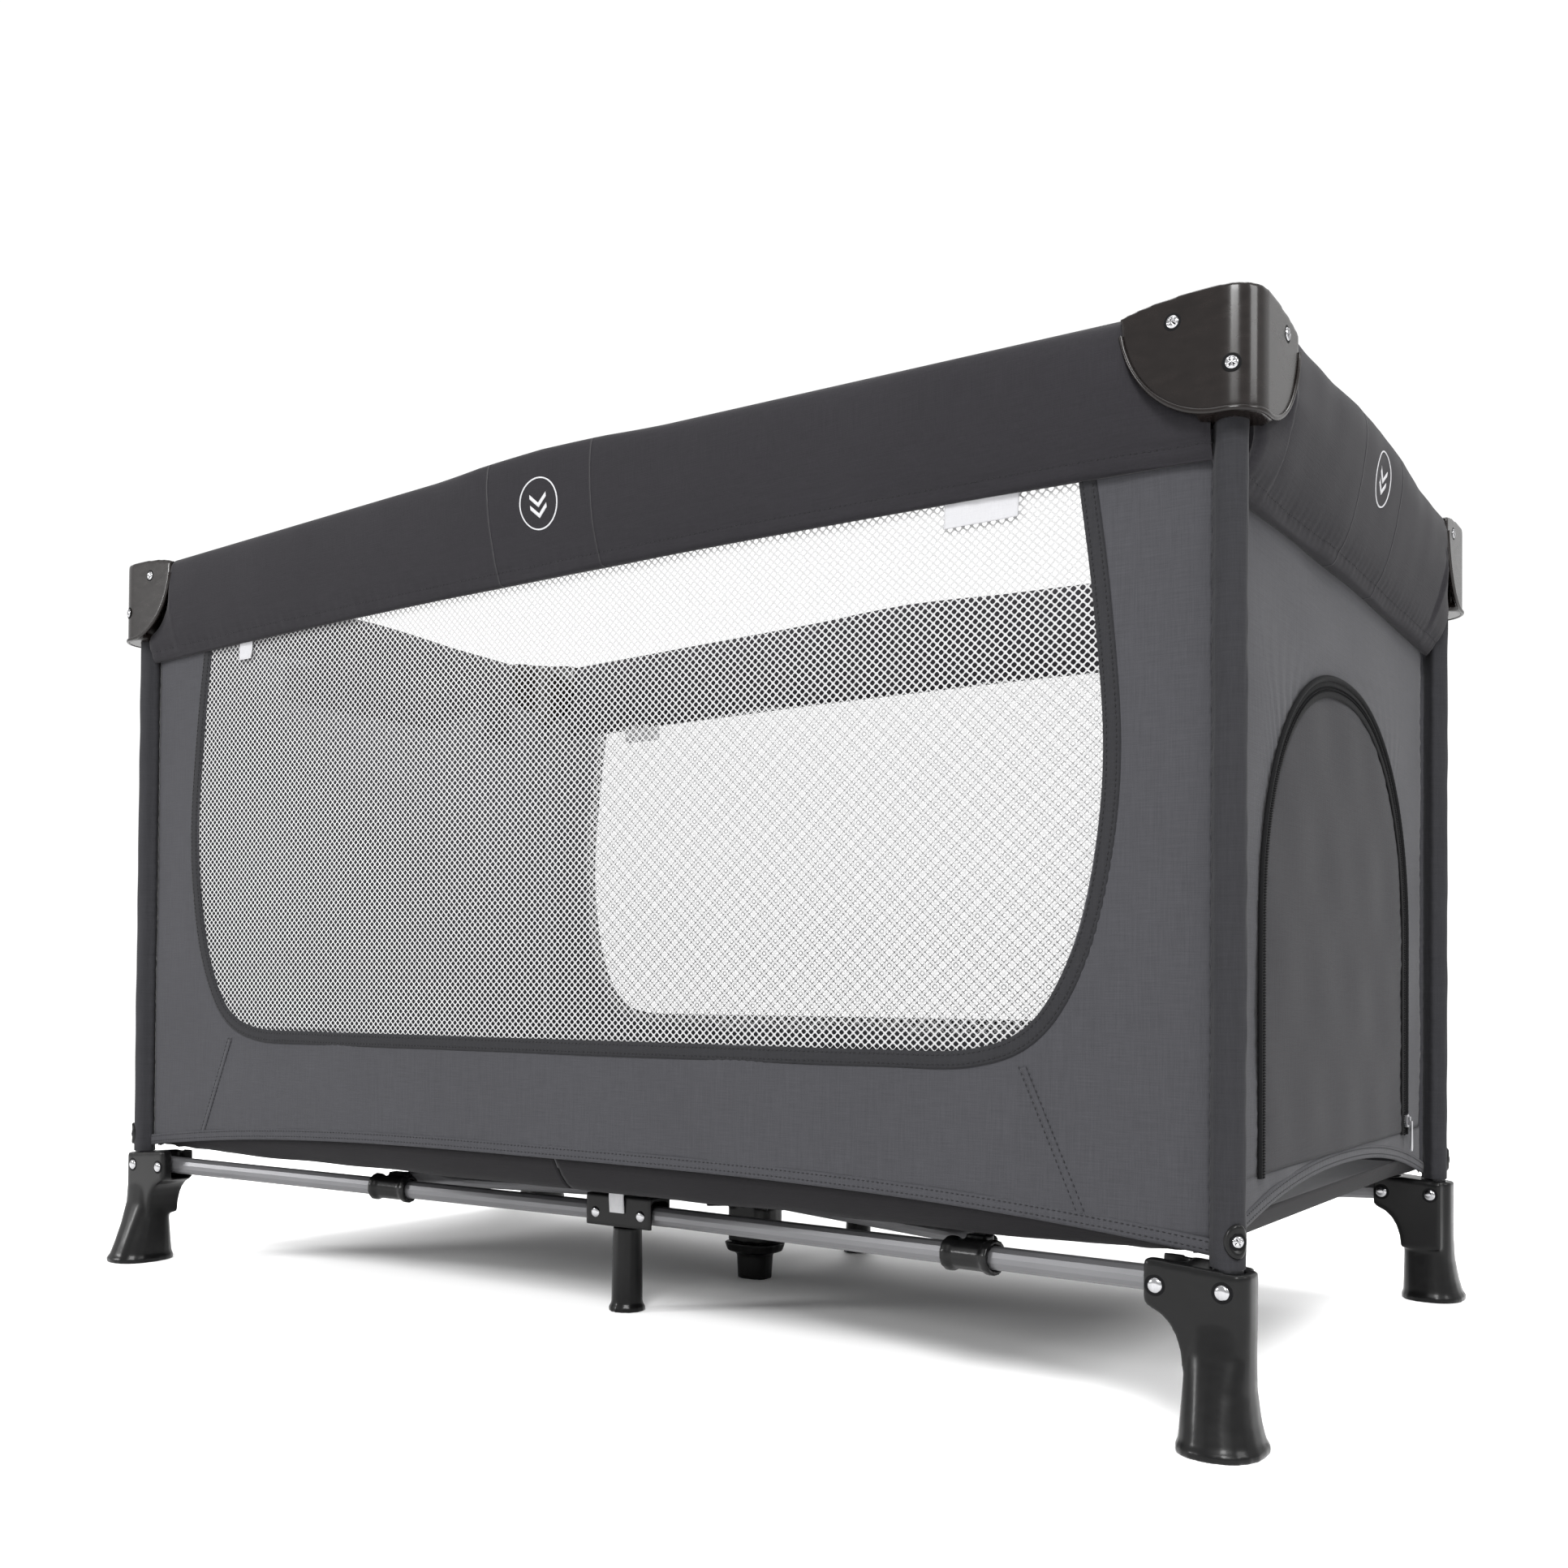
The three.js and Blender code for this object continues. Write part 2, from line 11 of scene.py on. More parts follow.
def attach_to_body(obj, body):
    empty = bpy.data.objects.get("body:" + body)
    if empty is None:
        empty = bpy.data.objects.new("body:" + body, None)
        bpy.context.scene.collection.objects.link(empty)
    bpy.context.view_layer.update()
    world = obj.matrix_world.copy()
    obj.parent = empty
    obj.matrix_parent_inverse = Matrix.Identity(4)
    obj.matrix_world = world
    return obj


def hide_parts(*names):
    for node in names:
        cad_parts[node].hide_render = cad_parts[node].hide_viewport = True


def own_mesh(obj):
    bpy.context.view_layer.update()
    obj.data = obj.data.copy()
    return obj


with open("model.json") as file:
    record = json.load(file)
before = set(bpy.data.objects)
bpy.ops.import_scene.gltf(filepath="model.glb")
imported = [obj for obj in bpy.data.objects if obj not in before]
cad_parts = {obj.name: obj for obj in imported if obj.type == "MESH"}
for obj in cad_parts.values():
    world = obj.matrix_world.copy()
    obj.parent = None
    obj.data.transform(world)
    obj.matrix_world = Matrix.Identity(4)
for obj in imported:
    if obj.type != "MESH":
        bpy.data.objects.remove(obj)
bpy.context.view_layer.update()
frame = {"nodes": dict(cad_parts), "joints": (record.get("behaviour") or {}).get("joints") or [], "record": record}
JOINTS = {j["name"]: j for j in frame["joints"]}

TURN = 2 * math.pi
POST_X, POST_Y = 0.600, 0.309  # post axes from the centre
POST_SLEEVE_R = 0.0108
WALL_Y, WALL_X = 0.3085, 0.590  # planes of the long and short walls
WALL_HALF_X, WALL_HALF_Y = 0.5895, 0.2985
WALL_TOP = 0.688
RAIL_Y, RAIL_X = 0.318, 0.609  # planes of the top rails
RAIL_Z = 0.735
RAIL_TILT, FOLD_ANGLE = math.radians(1.5), math.radians(86)
COVER_WING, COVER_HIGH, COVER_DROP = 0.069, 0.749, 0.077  # reach, top and drop of a cover's wing
COVER_FACE = 0.0238  # from a post axis to the outer face of its cover
SLEEVE_END = 0.0115  # from the post axis to the end of a rail sleeve
SLEEVE_HALF = 0.0172  # half thickness of a padded sleeve
LATCH_HALF = 0.060  # half length of the sleeve piece over a middle latch
FLOOR_Z = 0.1215
FLOOR_HALF_X, FLOOR_HALF_Y = 0.578, 0.279
DOOR_HALF, DOOR_SILL, DOOR_SPRING, DOOR_RISE = 0.213, 0.169, 0.345, 0.200
ARCH_POWER = 0.92  # a little squarer than an ellipse
CLOTH = 0.0009  # thickness of the wall and floor cloth
BINDING_WIDTH = 0.013
MAT_PUFF = 0.003  # how far the mat's cover bulges at most
FOOT_PIVOT = (0.555, 0.300, 0.104)
MID_PIVOT = (0.027, 0.204, 0.08995)


# ---- Giving folding pieces their own copy of their mesh ----


def gather_long(piece):
    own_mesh(piece)


def gather_short(piece):
    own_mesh(piece)


def gather_sleeve(piece):
    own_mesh(piece)


def gather_floor(piece):
    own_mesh(piece)


def attach(piece, body, gather=None):
    """Makes a piece ride a body; with a gather, it also gets its own copy of its mesh."""
    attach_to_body(piece, body)
    if gather:
        gather(piece)


# ---- Materials ----

def new_material(name, roughness, metallic=0.0, specular=0.5):
    made = bpy.data.materials.new(name)
    made.use_nodes = True
    shader = made.node_tree.nodes["Principled BSDF"]
    shader.inputs["Roughness"].default_value = roughness
    shader.inputs["Metallic"].default_value = metallic
    shader.inputs["Specular IOR Level"].default_value = specular
    return made, made.node_tree, shader


def stretched_noise(tree, scale, detail=3.0):
    """Noise in the row frame, scaled apart along X, Y and Z."""
    place = tree.nodes.new("ShaderNodeTexCoord")
    mapping = tree.nodes.new("ShaderNodeMapping")
    mapping.inputs["Scale"].default_value = scale
    noise = tree.nodes.new("ShaderNodeTexNoise")
    noise.inputs["Scale"].default_value = 1.0
    noise.inputs["Detail"].default_value = detail
    tree.links.new(place.outputs["Object"], mapping.inputs["Vector"])
    tree.links.new(mapping.outputs["Vector"], noise.inputs["Vector"])
    return noise.outputs["Fac"]


def maths(tree, operation, a, b):
    node = tree.nodes.new("ShaderNodeMath")
    node.operation = operation
    for socket, value in zip(node.inputs, (a, b)):
        if hasattr(value, "node"):
            tree.links.new(value, socket)
        else:
            socket.default_value = value
    return node.outputs[0]


def toned(colour, factor):
    return [c * factor for c in colour]


def paint(tree, shader, factor, low, high, start=0.3, end=0.7):
    """Blends the base colour from low to high as the factor goes from start to end."""
    node = tree.nodes.new("ShaderNodeValToRGB")
    node.color_ramp.elements[0].position, node.color_ramp.elements[1].position = start, end
    node.color_ramp.elements[0].color = (*low, 1)
    node.color_ramp.elements[1].color = (*high, 1)
    tree.links.new(factor, node.inputs["Fac"])
    tree.links.new(node.outputs["Color"], shader.inputs["Base Color"])


def bump(tree, shader, height, strength, distance):
    node = tree.nodes.new("ShaderNodeBump")
    node.inputs["Strength"].default_value = strength
    node.inputs["Distance"].default_value = distance
    tree.links.new(height, node.inputs["Height"])
    tree.links.new(node.outputs["Normal"], shader.inputs["Normal"])


def woven(name, colour, sheen, vary=0.16):
    """Plain-woven polyester: warp and weft threads, slubs, and a soft cloudy change of tone."""
    made, tree, shader = new_material(name, 0.82, specular=0.09)
    shader.inputs["Sheen Weight"].default_value = sheen
    shader.inputs["Sheen Roughness"].default_value = 0.4
    warp = stretched_noise(tree, (1300, 1300, 45))
    weft = stretched_noise(tree, (45, 45, 1500))
    threads = maths(tree, "ADD", warp, weft)
    cloud = stretched_noise(tree, (7, 7, 7), detail=2.0)
    weave_share, cloud_share = maths(tree, "MULTIPLY", threads, 0.42), maths(tree, "MULTIPLY", cloud, 0.16)
    tone = maths(tree, "ADD", weave_share, cloud_share)
    paint(tree, shader, tone, toned(colour, 1 - vary), toned(colour, 1 + vary), 0.34, 0.66)
    bump(tree, shader, threads, 0.35, 0.0004)
    return made


def knitted(name, colour):
    made, tree, shader = new_material(name, 0.7, specular=0.3)
    grain = stretched_noise(tree, (900, 900, 900))
    paint(tree, shader, grain, toned(colour, 0.85), toned(colour, 1.12))
    bump(tree, shader, grain, 0.3, 0.0003)
    return made


def moulded(name, colour, roughness, coat, grain):
    """Moulded plastic: a fine even grain, faint scuffs, and a clear gloss where it is polished."""
    made, tree, shader = new_material(name, roughness, specular=0.14)
    shader.inputs["Coat Weight"].default_value = coat
    shader.inputs["Coat Roughness"].default_value = 0.12
    fine = stretched_noise(tree, (2200, 2200, 2200), detail=2.0)
    scuff = stretched_noise(tree, (60, 60, 160), detail=5.0)
    paint(tree, shader, scuff, toned(colour, 0.85), toned(colour, 1.25))
    rough = maths(tree, "MULTIPLY_ADD", scuff, 0.12)
    rough.node.inputs[2].default_value = roughness - 0.06
    tree.links.new(rough, shader.inputs["Roughness"])
    bump(tree, shader, fine, grain, 0.0002)
    return made


def coated_steel(name, colour, roughness):
    """Powder-coated tube with a faint orange-peel surface."""
    made, tree, shader = new_material(name, roughness, 0.55)
    peel = stretched_noise(tree, (500, 500, 500), detail=2.0)
    cloud = stretched_noise(tree, (12, 12, 12))
    paint(tree, shader, cloud, toned(colour, 0.92), toned(colour, 1.1))
    bump(tree, shader, peel, 0.12, 0.0002)
    return made


def plated(name, colour, roughness):
    made, tree, shader = new_material(name, roughness, 1.0)
    scratch = stretched_noise(tree, (700, 700, 90), detail=4.0)
    paint(tree, shader, scratch, toned(colour, 0.85), colour)
    bump(tree, shader, scratch, 0.08, 0.0001)
    return made


WALL_CLOTH = woven("wall_cloth", (0.031, 0.031, 0.0345), sheen=0.07)
# The door's cloth is the wall cloth made darker: painted shade.
DOOR_CLOTH_PAINTED_SHADE = woven("door_cloth_painted_shade", (0.0175, 0.0172, 0.0192), sheen=0.04)
SLEEVE_CLOTH = woven("sleeve_cloth", (0.0125, 0.0118, 0.0137), sheen=0.05)
BINDING = woven("binding_cloth", (0.015, 0.015, 0.0165), sheen=0.03)
FLOOR_CLOTH = woven("floor_cloth_weave", (0.0085, 0.0080, 0.0090), sheen=0.03)
MAT_CLOTH = woven("mat_cloth", (0.055, 0.055, 0.058), vary=0.1, sheen=0.05)
POST_CLOTH = woven("post_cloth", (0.0165, 0.0165, 0.0185), sheen=0.04)
MESH = knitted("mesh_knit", (0.29, 0.29, 0.292))
THREAD = knitted("thread", (0.005, 0.005, 0.006))
WEBBING = woven("white_webbing", (0.42, 0.42, 0.43), vary=0.08, sheen=0.1)
TAG = woven("white_tag", (0.30, 0.30, 0.31), vary=0.05, sheen=0.1)
PRINT = knitted("white_print", (0.33, 0.33, 0.34))
GLOSS = moulded("cover_plastic", (0.0055, 0.0042, 0.0038), 0.26, coat=0.16, grain=0.008)
SATIN = moulded("foot_plastic", (0.0026, 0.0026, 0.0027), 0.32, coat=0.05, grain=0.05)
STEEL = coated_steel("grey_steel", (0.11, 0.11, 0.115), 0.40)
BLACK_STEEL = coated_steel("black_steel_coat", (0.014, 0.014, 0.016), 0.42)
CHROME = plated("chrome_plate", (0.34, 0.34, 0.35), 0.16)
NICKEL = plated("nickel_plate", (0.26, 0.26, 0.27), 0.3)
ZIP_TAPE = woven("zip_tape", (0.0030, 0.0030, 0.0034), sheen=0.02)


# ---- Meshes ----

def new_object(name, data):
    thing = bpy.data.objects.new(name, data)
    bpy.context.collection.objects.link(thing)
    return thing


def mesh_object(name, points, faces, material, smooth=True):
    mesh = bpy.data.meshes.new(name)
    mesh.from_pydata([tuple(map(float, p)) for p in points], [], [tuple(map(int, f)) for f in faces])
    mesh.materials.append(material)
    mesh.polygons.foreach_set("use_smooth", [smooth] * len(mesh.polygons))
    mesh.validate()
    return new_object(name, mesh)


def grid_faces(rows, columns, wrap_rows=False, wrap_columns=False):
    i = np.arange(rows if wrap_rows else rows - 1)
    j = np.arange(columns if wrap_columns else columns - 1)
    i, j = [a.ravel() for a in np.meshgrid(i, j, indexing="ij")]
    ni, nj = (i + 1) % rows, (j + 1) % columns
    return np.stack([i * columns + j, ni * columns + j, ni * columns + nj, i * columns + nj], 1)


def sheet_of(name, points, material, wrap_rows=False, wrap_columns=False, flip=False, capped=False):
    """A surface through a grid of points, shaped (rows, columns, 3), with closed ends if it is capped."""
    rows, columns = points.shape[:2]
    faces = [list(face) for face in grid_faces(rows, columns, wrap_rows, wrap_columns)]
    if capped:
        first = [i * columns for i in range(rows)]
        faces += [first, [k + columns - 1 for k in first[::-1]]]
    if flip:
        faces = [face[::-1] for face in faces]
    piece = mesh_object(name, points.reshape(-1, 3), faces, material)
    for cap in list(piece.data.polygons)[len(faces) - 2:] if capped else ():
        cap.use_smooth = False
    return piece


def finished(piece):
    """Applies a piece's modifiers, so that its mesh is final."""
    graph = bpy.context.evaluated_depsgraph_get()
    mesh = bpy.data.meshes.new_from_object(piece.evaluated_get(graph), depsgraph=graph)
    piece.modifiers.clear()
    piece.data = mesh


def thicken(piece, thickness):
    made = piece.modifiers.new("thickness", "SOLIDIFY")
    made.thickness, made.offset = thickness, 0.0
    finished(piece)


def merged(name, pieces, material, smooth=True):
    """Joins the meshes of several (points, faces) pairs into one piece."""
    points, faces, start = [], [], 0
    for p, f in pieces:
        points.append(np.asarray(p, float))
        faces += [[int(k) + start for k in face] for face in f]
        start += len(p)
    return mesh_object(name, np.concatenate(points), faces, material, smooth)


def curve_points(control, steps):
    """Evenly spaced points on a smooth curve through the control points (Catmull-Rom)."""
    c = np.array(control, float)
    c = np.vstack([2 * c[0] - c[1], c, 2 * c[-1] - c[-2]])
    out = []
    for k in range(1, len(c) - 2):
        for t in np.linspace(0, 1, 24, endpoint=False):
            a, b, d, e = c[k - 1:k + 3]
            out.append(0.5 * (2 * b + (d - a) * t + (2 * a - 5 * b + 4 * d - e) * t ** 2
                              + (3 * b - a - 3 * d + e) * t ** 3))
    out.append(c[-2])
    return spaced(np.array(out), steps)


def spaced(points, steps):
    """The same path, sampled at even distances."""
    along = np.concatenate([[0], np.cumsum(np.linalg.norm(np.diff(points, axis=0), axis=1))])
    at = np.linspace(0, along[-1], steps)
    return np.stack([np.interp(at, along, points[:, k]) for k in range(points.shape[1])], 1)


def length_of(points):
    return float(np.linalg.norm(np.diff(points, axis=0), axis=1).sum())


def unit(vectors):
    return vectors / np.linalg.norm(vectors, axis=1)[:, None]


def full_turn(steps):
    return np.linspace(0, TURN, steps, endpoint=False)


def between(inner, outer, rows):
    """Grids of u and v whose rows run evenly from one path of a plane to another."""
    share = np.linspace(0, 1, rows)[:, None, None]
    grid = inner + (outer - inner) * share
    return grid[..., 0], grid[..., 1]


def normals_2d(path):
    """Unit normals to the left of a path in a plane."""
    tangent = unit(np.gradient(path, axis=0))
    return np.stack([-tangent[:, 1], tangent[:, 0]], 1)


def waves(a, b, seed, scale):
    """Smooth made-up unevenness between -1 and 1 over two coordinates, in metres."""
    draw = np.random.default_rng(seed)
    total = 0
    for _ in range(7):
        direction = draw.normal(size=2)
        direction /= np.linalg.norm(direction)
        size = scale * draw.uniform(0.6, 1.8)
        total = total + np.sin((a * direction[0] + b * direction[1]) / size * TURN
                               + draw.uniform(0, TURN))
    return total / 4


def pucker(along, distance, seed, pitch=0.009, reach=0.014):
    """Small gathers along a seam that die away with the distance from it."""
    draw = np.random.default_rng(seed)
    phase = draw.uniform(0, TURN, 3)
    ripple = (np.sin(TURN * along / pitch + phase[0])
              + 0.6 * np.sin(TURN * along / (pitch * 1.7) + phase[1])
              + 0.5 * np.sin(TURN * along / (pitch * 3.1) + phase[2]))
    return ripple * np.exp(-np.abs(distance) / reach)


# ---- Planes: a wall's own (across, up) coordinates placed in the row frame ----

class Plane:
    """A vertical plane. Its u runs along the wall, its v is height, and its w is outwards."""

    def __init__(self, side):
        self.long = side in ("front", "back")
        self.sign = 1 if side in ("back", "right") else -1
        self.post = POST_X if self.long else POST_Y

    def place(self, u, v, w=0.0):
        u, v, w = np.broadcast_arrays(np.asarray(u, float), np.asarray(v, float), np.asarray(w, float))
        if self.long:
            return np.stack([u, self.sign * (WALL_Y + w), v], -1)
        return np.stack([self.sign * (WALL_X + w), u, v], -1)

    @property
    def outward(self):
        return Vector((0, self.sign, 0) if self.long else (self.sign, 0, 0))


PLANES = {side: Plane(side) for side in ("front", "back", "left", "right")}
WALL_BODY = {"front": "corner_front_right", "right": "corner_front_right",
             "back": "corner_back_right", "left": "corner_front_left"}


def on_wall(piece, side):
    """Makes a piece go with a wall: it rides the wall's corner and gets its own copy of its mesh."""
    attach(piece, WALL_BODY[side], gather_long if PLANES[side].long else gather_short)


def finish_wall(piece, side):
    """Thickens a wall's cloth and puts it in the place of the CAD wall."""
    thicken(piece, CLOTH)
    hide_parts(f"wall_{side}")
    on_wall(piece, side)


# ---- Stitching ----

def stitch_line(path, outward, pitch=0.0042, length=0.0030, width=0.0009):
    """Thread bumps along a path of points in the row frame."""
    count = max(int(length_of(path) / pitch), 2)
    at = spaced(path, count)
    tangent = unit(np.gradient(at, axis=0))
    out = np.array(outward, float)
    side = np.cross(tangent, out)
    corners = np.stack([at - tangent * length / 2, at + side * width / 2, at + tangent * length / 2,
                        at - side * width / 2, at + out * width * 0.6, at - out * width * 0.3], 1)
    ring = [(0, 1, 4), (1, 2, 4), (2, 3, 4), (3, 0, 4), (1, 0, 5), (2, 1, 5), (3, 2, 5), (0, 3, 5)]
    faces = [[k * 6 + c for c in face] for k in range(count) for face in ring]
    return corners.reshape(-1, 3), faces


def stitching(name, lines, side):
    """Rows of stitches on a wall."""
    on_wall(merged(name, [stitch_line(line, PLANES[side].outward) for line in lines], THREAD), side)


# ---- Walls with a mesh window ----

# Half of the window's outline, from its top corner round to the middle of its lower edge.
WINDOW = curve_points([(0.490, 0.668), (0.503, 0.570), (0.511, 0.470), (0.505, 0.392), (0.488, 0.325),
                       (0.457, 0.275), (0.410, 0.2555), (0.330, 0.253), (0.160, 0.253), (0, 0.253)], 260)


def hem_long(u):
    return 0.149 - 0.026 * np.abs(u / POST_X) ** 3


def hem_short(u):
    return 0.158 - 0.038 * np.abs(u / POST_Y) ** 2.2


def outer_edge(steps_side, steps_hem):
    """Half of the wall's own edge, from the top of one post, down it and along the hem to the middle."""
    side = np.stack([np.full(steps_side, WALL_HALF_X),
                     np.linspace(WALL_TOP, hem_long(WALL_HALF_X), steps_side)], 1)
    u = np.linspace(WALL_HALF_X, 0, steps_hem + 1)[1:]
    return np.vstack([side, np.stack([u, hem_long(u)], 1)])


def window_wall(side):
    """The cloth round a mesh window, as a ring between the window's edge and the wall's edge."""
    # The window's point nearest its lower corner goes with the wall's corner.
    corner = int(np.argmin(np.linalg.norm(WINDOW - (0.478, 0.300), axis=1)))
    u, v = between(WINDOW, outer_edge(corner, len(WINDOW) - corner), 26)
    u = np.concatenate([u, -u[:, -2::-1]], 1)
    v = np.concatenate([v, v[:, -2::-1]], 1)
    seed = 11 if side == "front" else 12
    edge = WALL_HALF_X - np.abs(u)
    w = 0.0007 * waves(u, v * 0.6, seed, 0.16)
    w = w + 0.00035 * pucker(v, edge, seed + 1) + 0.0003 * pucker(u, v - hem_long(u), seed + 2)
    w = w - 0.004 * np.exp(-edge / 0.012)
    piece = sheet_of(f"wall_cloth_{side}", PLANES[side].place(u, v, w), WALL_CLOTH, flip=(side == "front"))
    finish_wall(piece, side)


def mesh_window(side):
    """A knitted mesh: a diamond lattice of strands round rounded holes that are really open."""
    half_wide, half_tall = 0.0035, 0.0032
    columns, rows = int(1.04 / half_wide), int(0.44 / half_tall)
    i, j = [a.ravel() for a in np.meshgrid(np.arange(columns), np.arange(rows), indexing="ij")]
    staggered = (i + j) % 2 == 0
    u = ((i - columns / 2) * half_wide)[staggered]
    v = (0.246 + j * half_tall)[staggered]
    height_order, width_order = np.argsort(WINDOW[:, 1]), np.argsort(WINDOW[:, 0])
    widest = np.interp(v, WINDOW[height_order, 1], WINDOW[height_order, 0])
    lowest = np.interp(np.abs(u), WINDOW[width_order, 0], WINDOW[width_order, 1])
    inside = (np.abs(u) < widest + 0.006) & ((v > lowest - 0.005) | (v > 0.30)) & (v > 0.249)
    u, v = u[inside], v[inside]
    # Four corners and the middles of four sides. Neighbours share them.
    ring_u = np.array([2, 1, 0, -1, -2, -1, 0, 1]) / 2 * half_wide
    ring_v = np.array([0, 1, 2, 1, 0, -1, -2, -1]) / 2 * half_tall
    opening = np.array([0.67, 0.80] * 4)
    outer = np.stack([u[:, None] + ring_u, v[:, None] + ring_v], -1)
    inner = np.stack([u[:, None] + ring_u * opening, v[:, None] + ring_v * opening], -1)
    keys = np.round(outer.reshape(-1, 2) / 1e-5).astype(int)
    _, first, index = np.unique(keys, axis=0, return_index=True, return_inverse=True)
    shared = outer.reshape(-1, 2)[first]
    index = index.reshape(-1, 8)
    inner_index = len(shared) + np.arange(len(u) * 8).reshape(-1, 8)
    after, inner_after = np.roll(index, -1, axis=1), np.roll(inner_index, -1, axis=1)
    faces = np.stack([index, after, inner_after, inner_index], -1).reshape(-1, 4)
    flat = np.vstack([shared, inner.reshape(-1, 2)])
    w = np.full(len(flat), -0.0005)
    w[:len(shared)] += 0.0004
    w = w + 0.0008 * waves(flat[:, 0], flat[:, 1], 31, 0.2)
    piece = mesh_object(f"mesh_window_{side}", PLANES[side].place(flat[:, 0], flat[:, 1], w), faces, MESH)
    on_wall(piece, side)


def band(name, side, path, width, height, material, lift=0.0):
    """A soft strip along a path on a wall, a little crowned across its width."""
    across = np.linspace(0, 1, 7)[:, None]
    strip = path + normals_2d(path) * width * across[:, None]
    along = np.linspace(0, length_of(path), len(path))
    crown = np.sin(math.pi * np.clip(across, 0.02, 0.98)) ** 0.5
    w = lift + height * crown + 0.00012 * np.sin(along * TURN / 0.0042)
    piece = sheet_of(name, PLANES[side].place(strip[..., 0], strip[..., 1], w), material)
    thicken(piece, 0.0008)
    on_wall(piece, side)


def window_binding(side):
    """The bound edge of a mesh window, with its two rows of stitches."""
    path = spaced(np.vstack([WINDOW, (WINDOW[:-1] * (-1, 1))[::-1]]), 620)
    if side == "back":
        path = path[::-1]
    band(f"window_binding_{side}", side, path, BINDING_WIDTH, 0.0014, BINDING)
    rows = [path + normals_2d(path) * BINDING_WIDTH * share for share in (0.22, 0.78)]
    stitching(f"window_stitches_{side}", [PLANES[side].place(*row.T, 0.0018) for row in rows], side)


def slant_seam(way, shift, steps):
    """A seam of a window wall that slants from the window's corner to the hem."""
    return np.stack([np.linspace(0.452, 0.497, steps) * way + shift, np.linspace(0.243, 0.143, steps)], 1)


def hem_band(side):
    """The turned-up hem with its two rows of stitches, and the slanted seams of a window wall."""
    plane = PLANES[side]
    half, hem = (WALL_HALF_X, hem_long) if plane.long else (WALL_HALF_Y, hem_short)
    u = np.linspace(-half, half, 400 if plane.long else 220)
    band(f"hem_{side}", side, np.stack([u, hem(u)], 1), 0.011, 0.0011, WALL_CLOTH)
    lines = [plane.place(u, hem(u) + rise, 0.0016) for rise in (0.0035, 0.0088)]
    for way, end in ((-1, "left"), (1, "right")) if plane.long else ():
        lines += [plane.place(*slant_seam(way, shift, 40).T, 0.0010) for shift in (-0.003, 0.003)]
        band(f"slant_seam_{side}_{end}", side, slant_seam(way, -0.002, 60), 0.004, 0.0006, WALL_CLOTH)
    stitching(f"hem_stitches_{side}", lines, side)


# ---- End walls, the door and its zip ----

def arch(sill, steps):
    """The door's outline from the bottom of one leg over the top to the bottom of the other."""
    turn = np.linspace(0, math.pi, 200)
    u = DOOR_HALF * np.sign(np.cos(turn)) * np.abs(np.cos(turn)) ** ARCH_POWER
    v = DOOR_SPRING + DOOR_RISE * np.sin(turn) ** ARCH_POWER
    return spaced(np.vstack([[(DOOR_HALF, sill)], np.stack([u, v], 1), [(-DOOR_HALF, sill)]]), steps)


def left_wall():
    """The end wall without a door."""
    u = np.linspace(-WALL_HALF_Y, WALL_HALF_Y, 150)[None, :]
    share = np.linspace(0, 1, 120)[:, None]
    v = hem_short(u) + (WALL_TOP - hem_short(u)) * share
    edge = WALL_HALF_Y - np.abs(u)
    w = 0.001 * waves(u, v, 41, 0.15) + 0.0003 * pucker(v, edge, 42) - 0.003 * np.exp(-edge / 0.012)
    piece = sheet_of("wall_cloth_left", PLANES["left"].place(u, v, w), WALL_CLOTH, flip=True)
    finish_wall(piece, "left")


def door_wall():
    """The end wall round the door: a ring from the door's edge to the wall's edge, and a sill below."""
    plane = PLANES["right"]
    steps, rows = 300, 24
    inner = arch(DOOR_SILL, steps)
    # The outer edge: up one post, across the top and down the other.
    outer = spaced(np.array([(WALL_HALF_Y, DOOR_SILL), (WALL_HALF_Y, WALL_TOP), (-WALL_HALF_Y, WALL_TOP),
                             (-WALL_HALF_Y, DOOR_SILL)]), steps)
    u, v = between(inner, outer, rows)
    edge = WALL_HALF_Y - np.abs(u)
    from_zip = np.linspace(0, 1, rows)[:, None] * 0.085
    w = (0.0009 * waves(u, v, 51, 0.14) + 0.0003 * pucker(v, edge, 52)
         + 0.0007 * pucker(v, from_zip, 53, pitch=0.011, reach=0.012)
         - 0.003 * np.exp(-edge / 0.012))
    ring = plane.place(u, v, w)
    ring_faces = grid_faces(*u.shape)[:, ::-1]
    u = np.linspace(-WALL_HALF_Y, WALL_HALF_Y, 150)[None, :]
    v = hem_short(u) + (DOOR_SILL - hem_short(u)) * np.linspace(0, 1, 14)[:, None]
    w = 0.0006 * waves(u, v, 54, 0.1) - 0.003 * np.exp(-(WALL_HALF_Y - abs(u)) / 0.012)
    sill = plane.place(u, v, w)
    piece = merged("wall_cloth_right", [(ring.reshape(-1, 3), ring_faces),
                                        (sill.reshape(-1, 3), grid_faces(*v.shape))], WALL_CLOTH)
    finish_wall(piece, "right")


